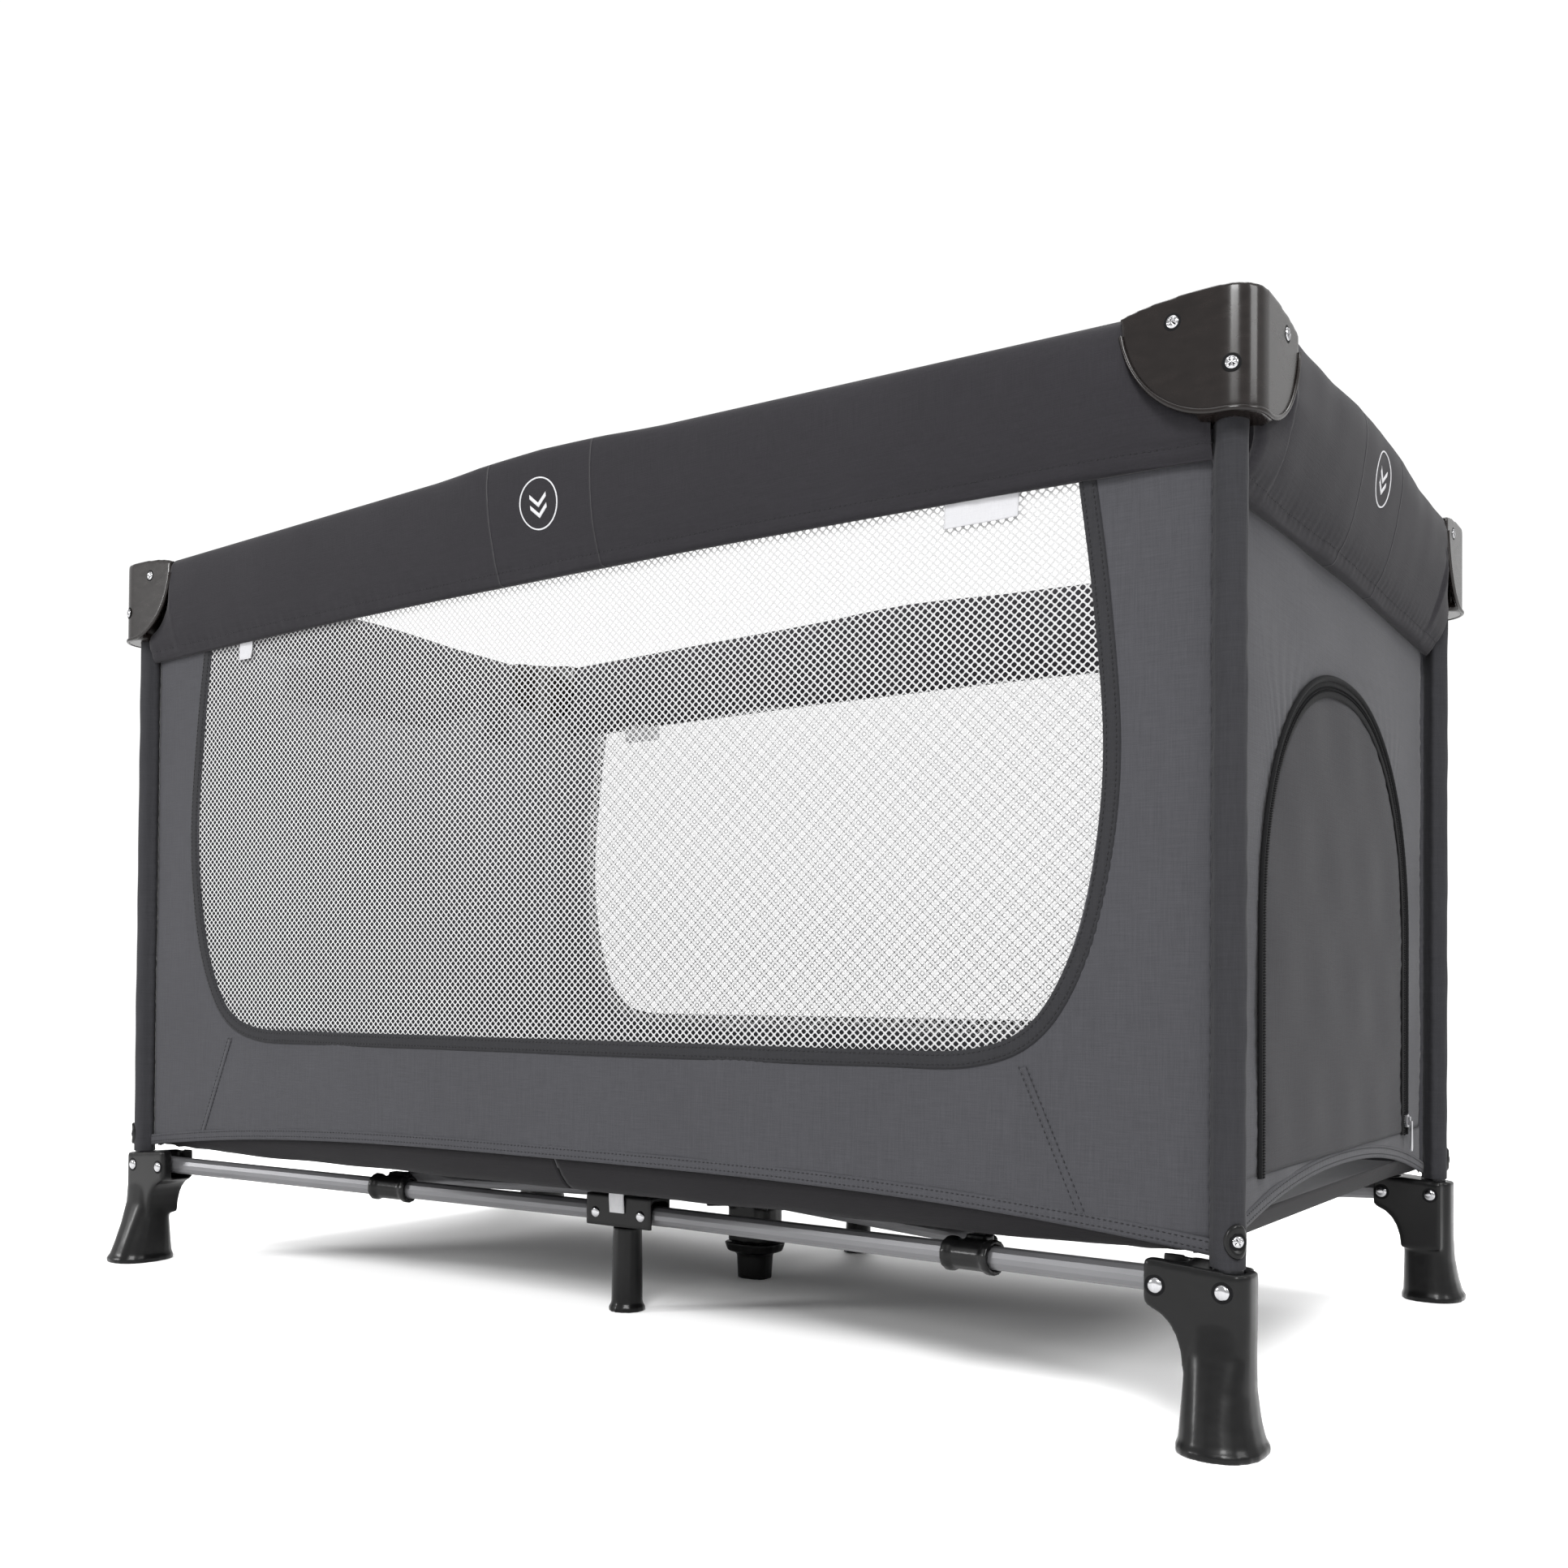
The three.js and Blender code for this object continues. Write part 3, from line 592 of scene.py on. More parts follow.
def door_flap():
    """The door's cloth, a hair smaller than its opening, with its columns closer at both legs."""
    gap = 0.0015
    half = DOOR_HALF - gap
    u = half * np.sin(np.linspace(-1, 1, 110) * math.pi / 2)[None, :]
    rise = (1 - np.abs(u / half) ** (2 / ARCH_POWER)).clip(0) ** (ARCH_POWER / 2)
    top = DOOR_SPRING + (DOOR_RISE - gap) * rise
    v = DOOR_SILL + 0.0003 + (top - DOOR_SILL - 0.0003) * np.linspace(0, 1, 110)[:, None]
    rim = np.minimum(half - np.abs(u), top - v).clip(0)
    w = 0.0016 * (1 - np.exp(-rim / 0.05)) + 0.0009 * waves(u, v, 61, 0.12)
    w = w + 0.0005 * pucker(v, rim, 62, pitch=0.011, reach=0.01)
    # Its cloth is the darker copy of the wall cloth: painted shade.
    piece = sheet_of("door_flap_cloth", PLANES["right"].place(u, v, w), DOOR_CLOTH_PAINTED_SHADE)
    thicken(piece, CLOTH)
    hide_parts("door_flap")
    attach(piece, "door", gather_short)


def zip_line():
    """The zip round the door: its tape, a raised piping, and two rows of teeth."""
    path = arch(DOOR_SILL - 0.002, 620)
    normal = normals_2d(path)
    band("zip_tape", "right", path - normal * 0.007, 0.014, 0.0009, ZIP_TAPE, lift=0.0012)
    band("zip_piping", "right", path - normal * 0.0105, 0.0045, 0.0030, ZIP_TAPE, lift=0.0010)
    lines = []
    for offset in (-0.0012, 0.0012):
        row = PLANES["right"].place(*(path + normal * offset).T, 0.0026)
        lines.append(stitch_line(row, (1, 0, 0), pitch=0.0021, length=0.0016, width=0.0022))
    on_wall(merged("zip_teeth", lines, ZIP_TAPE), "right")


def zip_slider():
    """A cast slider with a loop and a long pull, over the CAD slider."""
    x = WALL_X + 0.0055
    y, low = DOOR_HALF + 0.0030, DOOR_SILL + 0.005
    parts = []

    def slab(points, thickness, at):
        n = len(points)
        front = [(at, y + p, q) for p, q in points]
        back = [(at - thickness, y + p, q) for p, q in points]
        faces = [list(range(n)), list(range(2 * n - 1, n - 1, -1))]
        faces += [[k, k + n, (k + 1) % n + n, (k + 1) % n] for k in range(n)]
        parts.append((front + back, faces))

    body = [(-0.0035, low), (0.0035, low), (0.0046, low + 0.006), (0.0042, low + 0.011), (0, low + 0.0125),
            (-0.0042, low + 0.011), (-0.0046, low + 0.006)]
    slab(body, 0.0042, x)
    bridge = [(-0.0016, 0.002), (0.0016, 0.002), (0.0016, 0.010), (-0.0016, 0.010)]
    slab([(p, low + q) for p, q in bridge], 0.0022, x + 0.002)
    pull = [(0.0034 * math.cos(a), low - 0.018 + 0.0045 * math.sin(a))
            for a in np.linspace(math.pi, TURN, 9)]
    pull += [(0.0020, low + 0.002), (0.0024, low + 0.006),
             (-0.0024, low + 0.006), (-0.0020, low + 0.002)]
    slab(pull, 0.0014, x + 0.0036)
    piece = merged("zip_slider_and_pull", parts, NICKEL, smooth=False)
    edge = piece.modifiers.new("edge", "BEVEL")
    edge.width, edge.segments = 0.0004, 2
    finished(piece)
    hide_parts("zip_slider")
    attach(piece, "zip_slider")
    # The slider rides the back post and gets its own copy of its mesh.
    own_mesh(piece)


# ---- Rail sleeves ----

def laid_on(piece, points, outward, lift=0.0):
    """Moves points in or out until they lie on the piece's outer face."""
    mesh = piece.data
    tree = BVHTree.FromPolygons([v.co for v in mesh.vertices], [f.vertices[:] for f in mesh.polygons])
    laid = []
    for point in np.asarray(points).reshape(-1, 3):
        hit = tree.ray_cast(Vector(point) + outward * 0.08, -outward)[0]
        laid.append(tuple((hit if hit is not None else Vector(point)) + outward * lift))
    return np.array(laid)


def sleeve_section(away):
    """How full the sleeve is on each side, and height from 0 at the hem to 1 at the top, round a loop.

    It is rounded along the rails and squarer over a middle latch, which is a box inside it.
    """
    turn = full_turn(44)
    height = 0.5 - 0.5 * np.cos(turn)
    square = 0.24 + 0.18 * np.clip((away - 0.075) / 0.06, 0, 1)
    side = np.sign(np.sin(turn))[:, None] * np.abs(np.sin(turn))[:, None] ** square[None, :]
    full = 0.42 + 0.58 * np.sin(height * math.pi / 2) ** 0.8
    return side * full[:, None], height


def sleeve_piece(name, side, body, start, end, columns, seed):
    """A length of padded cloth round a top rail. It narrows to the post below the corner cover."""
    plane = PLANES[side]
    post = plane.post
    rail_out = RAIL_Y - WALL_Y if plane.long else RAIL_X - WALL_X
    u = np.linspace(start, end, columns)
    a = np.abs(u)
    rail = RAIL_Z + (post - 0.032 - a) * math.tan(RAIL_TILT)
    top = rail + 0.0150 + 0.0012 * np.exp(-(a / 0.09) ** 4)
    low, bow = (0.649, 0.009) if plane.long else (0.631, 0.006)
    hem = low + bow * (1 - (a / post) ** 2)
    under_wing = COVER_WING - 0.002
    reach = np.clip((post - a) / under_wing, 0, 1)
    wing = COVER_HIGH - COVER_DROP * np.sqrt(1 - reach ** 2) + 0.003
    top = np.where(post - a < under_wing, np.minimum(wing, top), top)
    side_w, height = sleeve_section(a)
    close = np.clip((post - SLEEVE_END - a) / 0.012, 0.0, 1)
    thick = SLEEVE_HALF * np.clip((top - hem) / 0.09, 0.35, 1) * np.sqrt(1 - (1 - close) ** 2 * 0.96)
    height = height[:, None]
    lean = (1 - height) ** 2 * (rail_out - 0.0035)
    w = rail_out + side_w * thick - lean
    v = hem + (top - hem) * height
    seam = v - hem - 0.010  # height above the stitched seam
    loose = 0.0011 * waves(u, v * 2.2, seed, 0.15) + 0.0003 * waves(u * 1.6, v, seed + 1, 0.06)
    hem_ripple = 0.0003 * pucker(u, seam, seed + 2, pitch=0.012, reach=0.005)
    end_gather = 0.0005 * pucker(v, post - COVER_WING - a - 0.004, seed + 3, pitch=0.012, reach=0.014)
    end_gather = np.where(a > post - COVER_WING - 0.06, end_gather, 0)
    groove = -0.0011 * np.exp(-(seam / 0.0022) ** 2)
    inside = np.abs(height - 0.5) < 0.49
    w = w + np.sign(side_w) * (loose + hem_ripple + groove + end_gather) * inside
    piece = sheet_of(name, plane.place(u, v, w), SLEEVE_CLOTH, wrap_rows=True,
                     flip=(side in ("back", "left")), capped=True)
    attach(piece, body, gather_sleeve)
    line = laid_on(piece, plane.place(u, hem + 0.0100, 0.0), plane.outward)
    stitches = merged(f"{name}_stitches", [stitch_line(line, plane.outward, pitch=0.0046)], THREAD)
    attach(stitches, body, gather_sleeve)
    return piece


def rail_sleeves(side):
    """A side's padded sleeve in three lengths, one on each rail half and one on the latch between."""
    plane = PLANES[side]
    post = plane.post
    ends = ("left", "right") if plane.long else ("front", "back")
    seed = 100 + 10 * list(PLANES).index(side)
    reach = post - SLEEVE_END
    columns = 200 if plane.long else 110
    spans = [(f"{ends[0]}_half", f"top_rail_{side}_{ends[0]}", -reach, -LATCH_HALF, columns),
             ("latch", f"latch_{side}", -LATCH_HALF, LATCH_HALF, 50),
             (f"{ends[1]}_half", f"top_rail_{side}_{ends[1]}", LATCH_HALF, reach, columns)]
    pieces = [sleeve_piece(f"rail_sleeve_{side}_{name}", side, body, start, end, steps, seed)
              for name, body, start, end, steps in spans]
    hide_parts(f"rail_sleeve_{side}")
    emblem(side, pieces[1])


def emblem(side, sleeve):
    """A plain round mark over the release button: a thin ring and a double chevron that points down."""
    plane = PLANES[side]
    middle, ring, thin = 0.7175, 0.0222, 0.0012
    under, over = -0.0003, 0.0004  # the print's lower and upper faces, from the sleeve's face
    circle = np.array([np.cos(full_turn(72)), np.sin(full_turn(72))])

    def section(outer, inner):
        """Points under and over the print's outer line, then over and under its inner line."""
        lines = ((outer, under), (outer, over), (inner, over), (inner, under))
        return np.concatenate([laid_on(sleeve, plane.place(u, middle + v, 0.0), plane.outward, lift)
                               for (u, v), lift in lines])

    parts = [(section(ring * circle, (ring - thin) * circle),
              grid_faces(4, 72, wrap_rows=True, wrap_columns=True))]
    u = np.linspace(-0.0095, 0.0095, 21)
    for drop in (0.0045, -0.0045):
        low = np.abs(u) * 0.85 - 0.0080 + drop
        parts.append((section((u, low), (u, low + 0.0038)), grid_faces(4, 21, wrap_rows=True)))
    piece = merged(f"press_mark_{side}", parts, PRINT)
    attach(piece, f"latch_{side}", gather_sleeve)


# ---- Posts, tags and webbing ----

def signs(corner):
    """Which way a corner lies from the centre, along X and along Y."""
    return (1 if corner.endswith("right") else -1), (-1 if corner.startswith("front") else 1)


def post_sleeve(corner):
    """A snug cloth tube on a post, gathered a little along the seams where the walls join it."""
    sx, sy = signs(corner)
    turn = full_turn(48)[None, :]
    z = np.linspace(0.118, 0.676, 220)[:, None]
    draw = np.random.default_rng(200 + sx + 3 * sy)
    r = POST_SLEEVE_R + 0.00035 * waves(turn * 0.011 * 3, z, 205 + sx + 2 * sy, 0.05)
    # Each sleeve has a ridge where the long wall is sewn on, and another for the short wall.
    for heading in (np.arctan2(0.0, -sx), np.arctan2(-sy, 0.0)):
        off = np.abs((turn - heading + math.pi) % (TURN) - math.pi)
        ridge = np.exp(-(off / 0.28) ** 2)
        phase = draw.uniform(0, 6.28)
        r = r + ridge * (0.0022 + 0.0004 * np.sin(z * TURN / 0.0085 + phase)
                         + 0.0003 * np.sin(z * TURN / 0.021))
    points = np.stack([sx * POST_X + r * np.cos(turn), sy * POST_Y + r * np.sin(turn), z + 0 * r], -1)
    piece = sheet_of(f"post_sleeve_{corner}", points, POST_CLOTH, wrap_columns=True, flip=True)
    attach(piece, f"corner_{corner}")


def tag(name, side, middle, width, seed):
    """A blank woven tag that hangs out of the window's top seam."""
    top, drop = 0.662, 0.026
    u = middle + np.linspace(-width / 2, width / 2, 30)[None, :]
    v = top - drop * np.linspace(0, 1, 16)[:, None]
    w = 0.0016 + 0.0016 * ((top - v) / drop) ** 2 + 0.0006 * waves(u * 3, v * 3, seed, 0.05)
    piece = sheet_of(name, PLANES[side].place(u, v, w), TAG)
    thicken(piece, 0.0005)
    on_wall(piece, side)


def webbing_loop():
    """A white webbing loop round the front mid bracket, up to the floor cloth."""
    half, start = 0.0085, -MID_PIVOT[1] - 0.0035
    path = curve_points([(-0.004, 0.1160), (-0.0105, 0.1145), (-0.0130, 0.108), (-0.0125, 0.100),
                         (-0.0118, 0.0915)], 50)
    across = np.linspace(-half, half, 9)[:, None]
    points = np.stack(np.broadcast_arrays(across, start + path[:, 0], path[:, 1]), -1)
    piece = sheet_of("webbing_loop", points, WEBBING)
    thicken(piece, 0.0014)
    attach(piece, "mid_front")


# ---- Floor and mat ----

def floor_half(side):
    """The cloth floor under the mat, with a skirt that rises to the walls' hems."""
    sx = 1 if side == "right" else -1
    u = np.linspace(0.001, FLOOR_HALF_X - 0.004, 150)
    across = np.linspace(-1, 1, 120)
    flat = np.clip(across / 0.93, -1, 1) * FLOOR_HALF_Y
    lift = ((np.abs(across) - 0.93).clip(0) / 0.07) ** 1.3
    x, y = np.meshgrid(u, flat, indexing="ij")
    end = ((x - 0.47).clip(0) / 0.104) ** 2
    rise = (hem_long(x) + 0.004 - FLOOR_Z).clip(0.002)
    z = FLOOR_Z - 0.0022 + np.maximum(lift * rise, end * 0.006)
    z = z + 0.0010 * waves(x, y, 71, 0.12) * (1 - lift)
    spread = 0.026 * np.sign(y) * lift ** 0.6
    points = np.stack([sx * x, y + spread, z], -1)
    piece = sheet_of(f"floor_tray_{side}", points, FLOOR_CLOTH, flip=(side == "left"))
    thicken(piece, CLOTH)
    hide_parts(f"floor_cloth_{side}")
    attach(piece, f"floor_{side}", gather_floor)


def floor_end(side):
    """The strip that joins the floor to the hem of an end wall."""
    u = np.linspace(-0.288, 0.288, 90)[None, :]
    share = np.linspace(0, 1, 10)[:, None]
    inner, outer = FLOOR_Z + 0.0004, np.minimum(hem_short(u) + 0.003, FLOOR_Z + 0.022)
    v = inner + (outer - inner) * share ** 1.6
    w = -0.0215 + 0.0195 * share
    piece = sheet_of(f"floor_end_{side}", PLANES[side].place(u, v, w), FLOOR_CLOTH)
    thicken(piece, 0.0008)
    on_wall(piece, side)


def mat_mesh():
    """Half of the mat, pumped up a little by cloth simulation and then quilted."""
    start, end, half, bottom, top = 0.004, 0.571, 0.272, 0.1265, 0.1355
    nx, ny = 72, 68
    x, y = np.meshgrid(np.linspace(start, end, nx), np.linspace(-half, half, ny), indexing="ij")
    upper, lower = [np.stack([x, y, z + 0 * x], -1).reshape(-1, 3) for z in (top, bottom)]
    below = nx * ny
    cover = [list(f) for f in grid_faces(nx, ny)]
    ring = ([i * ny for i in range(nx)] + [(nx - 1) * ny + j for j in range(1, ny)]
            + [i * ny + ny - 1 for i in range(nx - 2, -1, -1)] + [j for j in range(ny - 2, 0, -1)])
    side = [[a, b, b + below, a + below] for a, b in zip(ring, ring[1:] + ring[:1])]
    faces = cover + [[k + below for k in f[::-1]] for f in cover] + side
    piece = mesh_object("mat_source", np.vstack([upper, lower]), faces, MAT_CLOTH)
    rest = np.array([v.co for v in piece.data.vertices])
    cloth = piece.modifiers.new("cloth", "CLOTH")
    cloth.settings.use_pressure = True
    cloth.settings.uniform_pressure_force = 0.3
    cloth.settings.effector_weights.gravity = 0
    cloth.settings.quality = 5
    scene = bpy.context.scene
    for step in range(1, 16):
        scene.frame_set(step)
    finished(piece)
    scene.frame_set(1)
    moved = np.array([v.co for v in piece.data.vertices]) - rest
    moved = moved * min(1, MAT_PUFF / max(np.linalg.norm(moved, axis=1).max(), 1e-9))
    points = rest + moved
    # Sewn channels across the mat.
    is_top = points[:, 2] > (bottom + top) / 2
    groove = sum(np.exp(-((points[:, 0] - g) / 0.004) ** 2) for g in (0.14, 0.285, 0.43))
    points[:, 2] -= np.where(is_top, 0.0028 * groove, 0)
    return points, faces, piece


def mats():
    """The mat's two halves, one the mirror of the other."""
    points, faces, source = mat_mesh()
    bpy.data.objects.remove(source)
    for side, sx in (("right", 1), ("left", -1)):
        place = points * (sx, 1, 1)
        order = faces if sx > 0 else [f[::-1] for f in faces]
        piece = mesh_object(f"mat_pad_{side}", place, order, MAT_CLOTH)
        smooth = piece.modifiers.new("fine", "SUBSURF")
        smooth.levels = smooth.render_levels = 1
        finished(piece)
        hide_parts(f"mat_{side}")
        attach(piece, f"floor_{side}", gather_floor)


# ---- Moulded and metal parts ----

def refined(node, body, material, rounds, voxel=0.0016):
    """A CAD solid with its edges softened as a moulding's are."""
    source = frame["nodes"][node]
    mesh = source.data.copy()
    piece = new_object(f"{node}_moulding", mesh)
    piece.matrix_world = source.matrix_world.copy()
    mesh.materials.clear()
    mesh.materials.append(material)
    remesh = piece.modifiers.new("remesh", "REMESH")
    remesh.mode, remesh.voxel_size = "VOXEL", voxel
    smooth = piece.modifiers.new("smooth", "SMOOTH")
    smooth.factor, smooth.iterations = 0.5, rounds
    finished(piece)
    piece.data.polygons.foreach_set("use_smooth", [True] * len(piece.data.polygons))
    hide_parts(node)
    attach(piece, body)


def dome(at, axis, radius, height, cross=False):
    """A rivet's or a screw's head: a low dome on a thin flange, with a cross recess for a screw."""
    profile = [(radius * r, height * h) for r, h in
               ((1, 0), (1, 0.25), (0.93, 0.5), (0.75, 0.8), (0.5, 0.95), (0.22, 1))] + [(0.0001, height)]
    turn = full_turn(32)
    z = Vector(axis).normalized()
    side = z.orthogonal().normalized()
    other = z.cross(side)
    points = []
    for r, h in profile:
        for t in turn:
            recessed = cross and r < radius * 0.62 and abs(math.cos(2 * t)) > 0.80
            lift = h - height * 0.9 if recessed else h
            around = side * (r * math.cos(t)) + other * (r * math.sin(t))
            points.append(tuple(Vector(at) + around + z * lift))
    return points, grid_faces(len(profile), len(turn), wrap_columns=True)


def fasteners(name, body, items):
    """Plated rivets or screws, given as a dome's values, each on a thin near-black disc that is painted shade of a
    recess round the head.
    """
    attach(merged(name, [dome(*item) for item in items], CHROME), body)
    # Thin near-black discs round the heads: painted shade where a recess would be.
    rims = [dome(at, axis, radius * 1.42, 0.0005) for at, axis, radius, *_ in items]
    attach(merged(f"{name}_painted_recess_shade", rims, ZIP_TAPE), body)


def ellipse_plate(corner):
    """The small oval plate with a screw on the outer corner of a post, just above the foot."""
    sx, sy = signs(corner)
    out = Vector((sx, sy, 0)).normalized()
    flat = Vector((-out.y, out.x, 0))
    middle = Vector((sx * POST_X, sy * POST_Y, 0.1365)) + out * (POST_SLEEVE_R + 0.0002)
    rings = []
    turn = full_turn(40)
    section = ((1, -0.003), (1, 0.0014), (0.9, 0.0024), (0.62, 0.0024), (0.55, 0.0014), (0.01, 0.0014))
    for scale, lift in section:
        for t in turn:
            bend = -0.0035 * (math.cos(t) * scale) ** 2
            across, rise = 0.0078 * scale * math.cos(t), 0.0115 * scale * math.sin(t)
            rings.append(tuple(middle + flat * across + Vector((0, 0, rise)) + out * (lift + bend)))
    faces = grid_faces(len(section), len(turn), wrap_columns=True)
    attach(merged(f"post_plate_{corner}", [(rings, faces)], SATIN), f"corner_{corner}")
    fasteners(f"post_plate_screw_{corner}", f"corner_{corner}",
              [(middle + out * 0.0012, out, 0.0040, 0.0016, True)])


def cover_lip(corner):
    """The thickened lower edge of a corner cover, along both wings and round the corner between them."""
    sx, sy = signs(corner)
    out = 0.0240
    away = np.linspace(COVER_WING - 0.0012, 0, 60)
    drop = COVER_HIGH - COVER_DROP * np.sqrt(1 - (away / COVER_WING) ** 2) + 0.0016
    turn = np.linspace(0, math.pi / 2, 16)[1:-1]
    dx = np.concatenate([-away, out * np.sin(turn), np.full(60, out)])
    dy = np.concatenate([np.full(60, out), out * np.cos(turn), -away[::-1]])
    z = np.concatenate([drop, np.full(14, drop[-1]), drop[::-1]])
    path = spaced(np.stack([sx * (POST_X + dx), sy * (POST_Y + dy), z], 1), 150)
    tangent = unit(np.gradient(path, axis=0))
    outward = path - (sx * POST_X, sy * POST_Y, 0)
    outward[:, 2] = 0
    side = unit(np.cross(tangent, unit(outward)))
    face = np.cross(side, tangent)
    around = full_turn(14)
    points = (path[:, None] + side[:, None] * 0.0019 * np.cos(around)[None, :, None]
              + face[:, None] * 0.0015 * np.sin(around)[None, :, None])
    attach(sheet_of(f"cover_lip_{corner}", points, GLOSS, wrap_columns=True), f"corner_{corner}")


def corner_fittings(corner):
    """What rides on a post: its cover and foot, their screws and rivets, the plate and the cloth."""
    sx, sy = signs(corner)
    body = f"corner_{corner}"
    refined(f"corner_cover_{corner}", body, GLOSS, rounds=14)
    refined(f"foot_{corner}", body, SATIN, rounds=14)
    head = (0.0044, 0.0018, True)
    slanted = Vector((sx * 0.30, sy * 0.95, 0))
    round_corner = Vector((sx * POST_X, sy * POST_Y, 0.703)) + slanted.normalized() * COVER_FACE
    fasteners(f"cover_screws_{corner}", body, [
        ((sx * 0.568, sy * (POST_Y + COVER_FACE), 0.738), (0, sy, 0), *head),
        ((sx * (POST_X + COVER_FACE), sy * 0.268, 0.740), (sx, 0, 0), *head),
        (round_corner, slanted, *head)])
    rivets = []
    for x in (0.600, FOOT_PIVOT[0]):
        for face, way in ((0.0138, 1), (-0.0238, -1)):
            rivets.append(((sx * x, sy * (POST_Y + face), 0.1035), (0, way * sy, 0), 0.0052, 0.0022))
    fasteners(f"foot_rivets_{corner}", body, rivets)
    cover_lip(corner)
    ellipse_plate(corner)
    post_sleeve(corner)


def base_fittings():
    """The brackets and legs, the clamps with their arms' ends, and the hub."""
    for side, sy in (("front", -1), ("back", 1)):
        for part in ("bracket", "leg"):
            refined(f"mid_{part}_{side}", f"mid_{side}", SATIN, rounds=4)
        fasteners(f"mid_rivets_{side}", f"mid_{side}",
                  [((x, sy * MID_PIVOT[1] + out * 0.0142, MID_PIVOT[2]), (0, out, 0), 0.0050, 0.0020)
                   for x in (-MID_PIVOT[0], MID_PIVOT[0]) for out in (1, -1)])
        for end in ("left", "right"):
            bar = f"base_{side}_{end}"
            refined(f"bar_clamp_{side}_{end}", bar, SATIN, rounds=4, voxel=0.0012)
            arm_end(side, end)
    for part, rounds in (("housing", 4), ("foot", 3)):
        refined(f"hub_{part}", "hub", SATIN, rounds)
    fasteners("hub_screws", "hub", [((0, sy * 0.0218, z), (0, sy, 0), 0.0042, 0.0016, True)
                                    for sy in (-1, 1) for z in (0.080, 0.052)])
    webbing_loop()


def clamp_pivot(side, end):
    """Where an arm meets its clamp: beside the bar, towards the hub."""
    sx, sy = signs(f"{side}_{end}")
    distance = 0.165 if sx * sy < 0 else 0.290
    foot, mid = Vector(FOOT_PIVOT), Vector(MID_PIVOT)
    along = (mid - foot).normalized()
    inboard = Vector((-along.y, along.x, 0)).normalized()
    p = foot + along * distance + inboard * 0.024 + Vector((0, 0, 0.008))
    return Vector((sx * p.x, sy * p.y, p.z)), Vector((sx * inboard.x, sy * inboard.y, 0))


def arm_end(side, end):
    """The flattened end of an arm, from its tube to the clamp, with its rivet."""
    inner = Vector(JOINTS[f"arm_{side}_{end}"]["pos_m"])
    pivot, inboard = clamp_pivot(side, end)
    along = (pivot - inner).normalized()
    flat = Vector((0, 0, 1)).cross(along).normalized()
    up = along.cross(flat)
    start, finish = pivot - along * 0.0565, pivot + along * 0.003
    rows, columns = 30, 24
    points = []
    for k in range(rows):
        share = k / (rows - 1)
        flatten = min(max((share - 0.1) / 0.5, 0), 1)
        flatten = flatten * flatten * (3 - 2 * flatten)
        close = 1 if k < rows - 3 else (0.92, 0.6, 0.02)[k - rows + 3]
        wide = 0.0065 * (1 - flatten) + 0.0026 * flatten
        tall = 0.0065 * (1 - flatten) + 0.0088 * flatten
        centre = start.lerp(finish, share)
        for t in full_turn(columns):
            points.append(tuple(centre + flat * (wide * close * math.cos(t))
                                + up * (tall * close * math.sin(t))))
    faces = grid_faces(rows, columns, wrap_columns=True)
    piece = merged(f"arm_end_{side}_{end}", [(points, faces)], STEEL)
    attach(piece, f"arm_{side}_{end}")
    stud = dome(pivot - inboard * 0.010, inboard, 0.0065, 0.014)
    attach(merged(f"clamp_stud_{side}_{end}", [stud], SATIN), f"base_{side}_{end}")


def repaint():
    """Gives the CAD nodes that stay their finish."""
    finish = {"steel": STEEL, "black_steel": BLACK_STEEL, "plastic": SATIN, "cover": GLOSS, "button": SATIN,
              "zip": NICKEL, "wall": WALL_CLOTH, "sleeve": SLEEVE_CLOTH, "door": WALL_CLOTH,
              "floor": FLOOR_CLOTH, "mat": MAT_CLOTH}
    slots = {s["node"]: s["material_slot"] for s in frame["record"]["subparts"]}
    for node, thing in frame["nodes"].items():
        for socket in thing.material_slots:
            socket.material = finish[slots[node]]


# ---- Studio ----

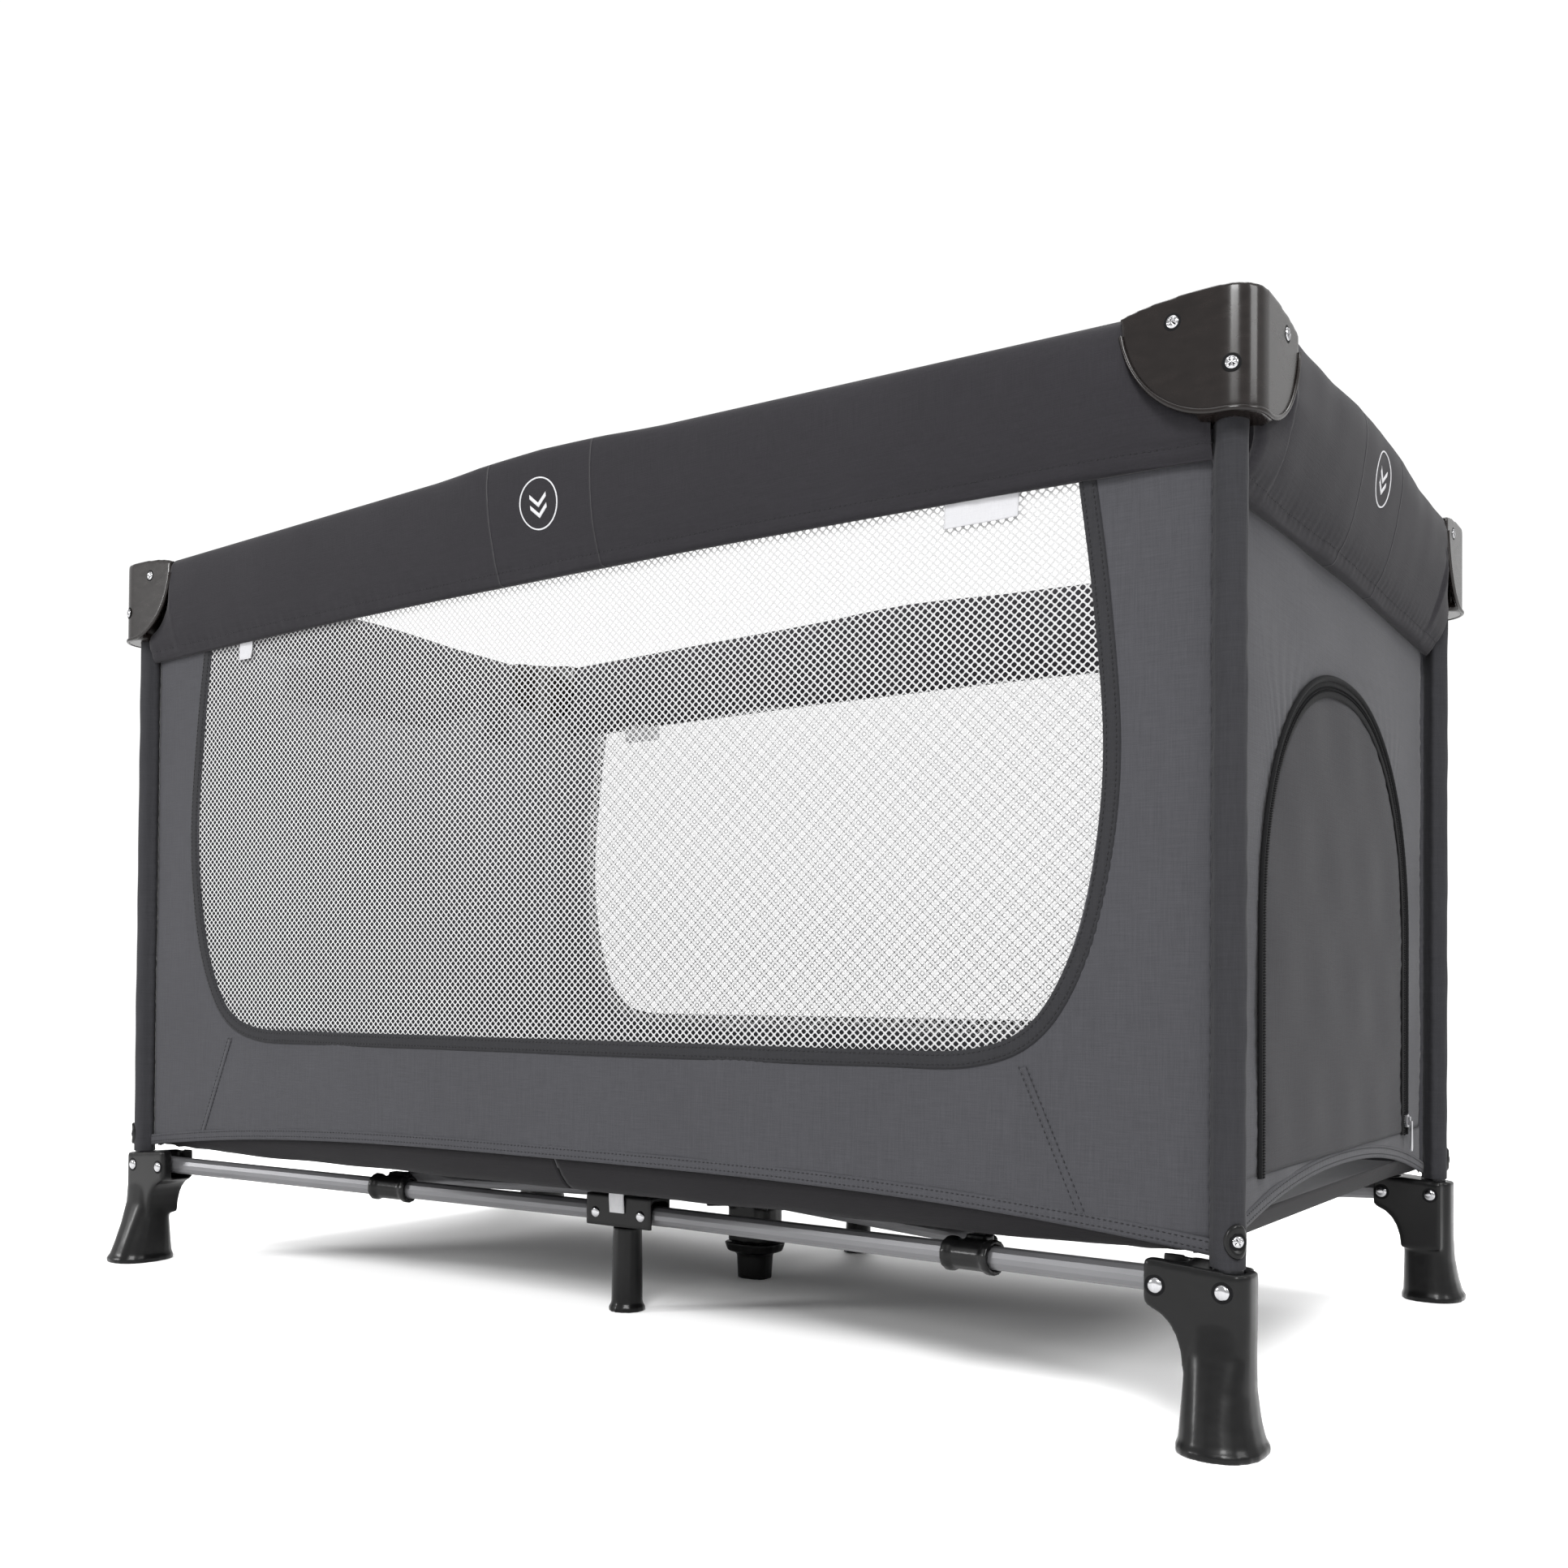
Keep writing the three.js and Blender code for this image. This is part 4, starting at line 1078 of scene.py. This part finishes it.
def studio():
    """An almost white room with soft lamps all round."""
    scene = bpy.context.scene
    scene.world = world = scene.world or bpy.data.worlds.new("studio")
    world.use_nodes = True
    back = world.node_tree.nodes["Background"]
    back.inputs["Color"].default_value = (1, 1, 1, 1)
    back.inputs["Strength"].default_value = 1.06
    points = [(-14, -14, 0), (14, -14, 0), (14, 14, 0), (-14, 14, 0)]
    made, tree, shader = new_material("floor_paint", 0.9, specular=0.1)
    speck = stretched_noise(tree, (3, 3, 3))
    paint(tree, shader, speck, (0.95, 0.95, 0.95), (0.97, 0.97, 0.97))
    floor = mesh_object("studio_floor", points, [(0, 1, 2, 3)], made)
    scene.view_settings.view_transform = "Standard"
    lights = [("key", (1.7, -2.9, 2.6), 1.2, 170), ("strip", (-2.4, -2.6, 1.2), 0.7, 60),
              ("side", (3.2, -0.4, 2.2), 1.0, 42), ("top", (0, 0.3, 3.2), 2.4, 100),
              ("back", (-1.8, 3.2, 2.2), 1.6, 70)]
    for name, at, size, power in lights:
        data = bpy.data.lights.new(name, "AREA")
        data.energy, data.size = power, size
        lamp = new_object(name, data)
        lamp.location = at
        lamp.rotation_euler = (Vector((0, 0, 0.4)) - Vector(at)).to_track_quat("-Z", "Y").to_euler()


def camera():
    """Low and close to the front right post, looking along the front wall and past the door."""
    yaw, pitch, roll = 0.6016, 0.0147, 0.0078
    data = bpy.data.cameras.new("camera")
    data.sensor_width, data.lens, data.shift_y = 36, 35.38, 0.1188
    seen = new_object("camera", data)
    seen.matrix_world = (Matrix.Translation((0.93, -1.3055, 0.295)) @ Matrix.Rotation(yaw, 4, "Z")
                         @ Matrix.Rotation(math.pi / 2 + pitch, 4, "X") @ Matrix.Rotation(roll, 4, "Z"))
    bpy.context.scene.camera = seen


camera()
studio()
repaint()
for side in ("front", "back"):
    window_wall(side)
    mesh_window(side)
    window_binding(side)
    way = 1 if side == "front" else -1
    tag(f"tag_{side}_wide", side, way * 0.417, 0.060, 81)
    tag(f"tag_{side}_small", side, way * -0.432, 0.020, 82)
left_wall()
door_wall()
door_flap()
zip_line()
zip_slider()
for side in PLANES:
    hem_band(side)
    rail_sleeves(side)
for side in ("right", "left"):
    floor_half(side)
    floor_end(side)
mats()
for corner in ("front_right", "front_left", "back_right", "back_left"):
    corner_fittings(corner)
base_fittings()
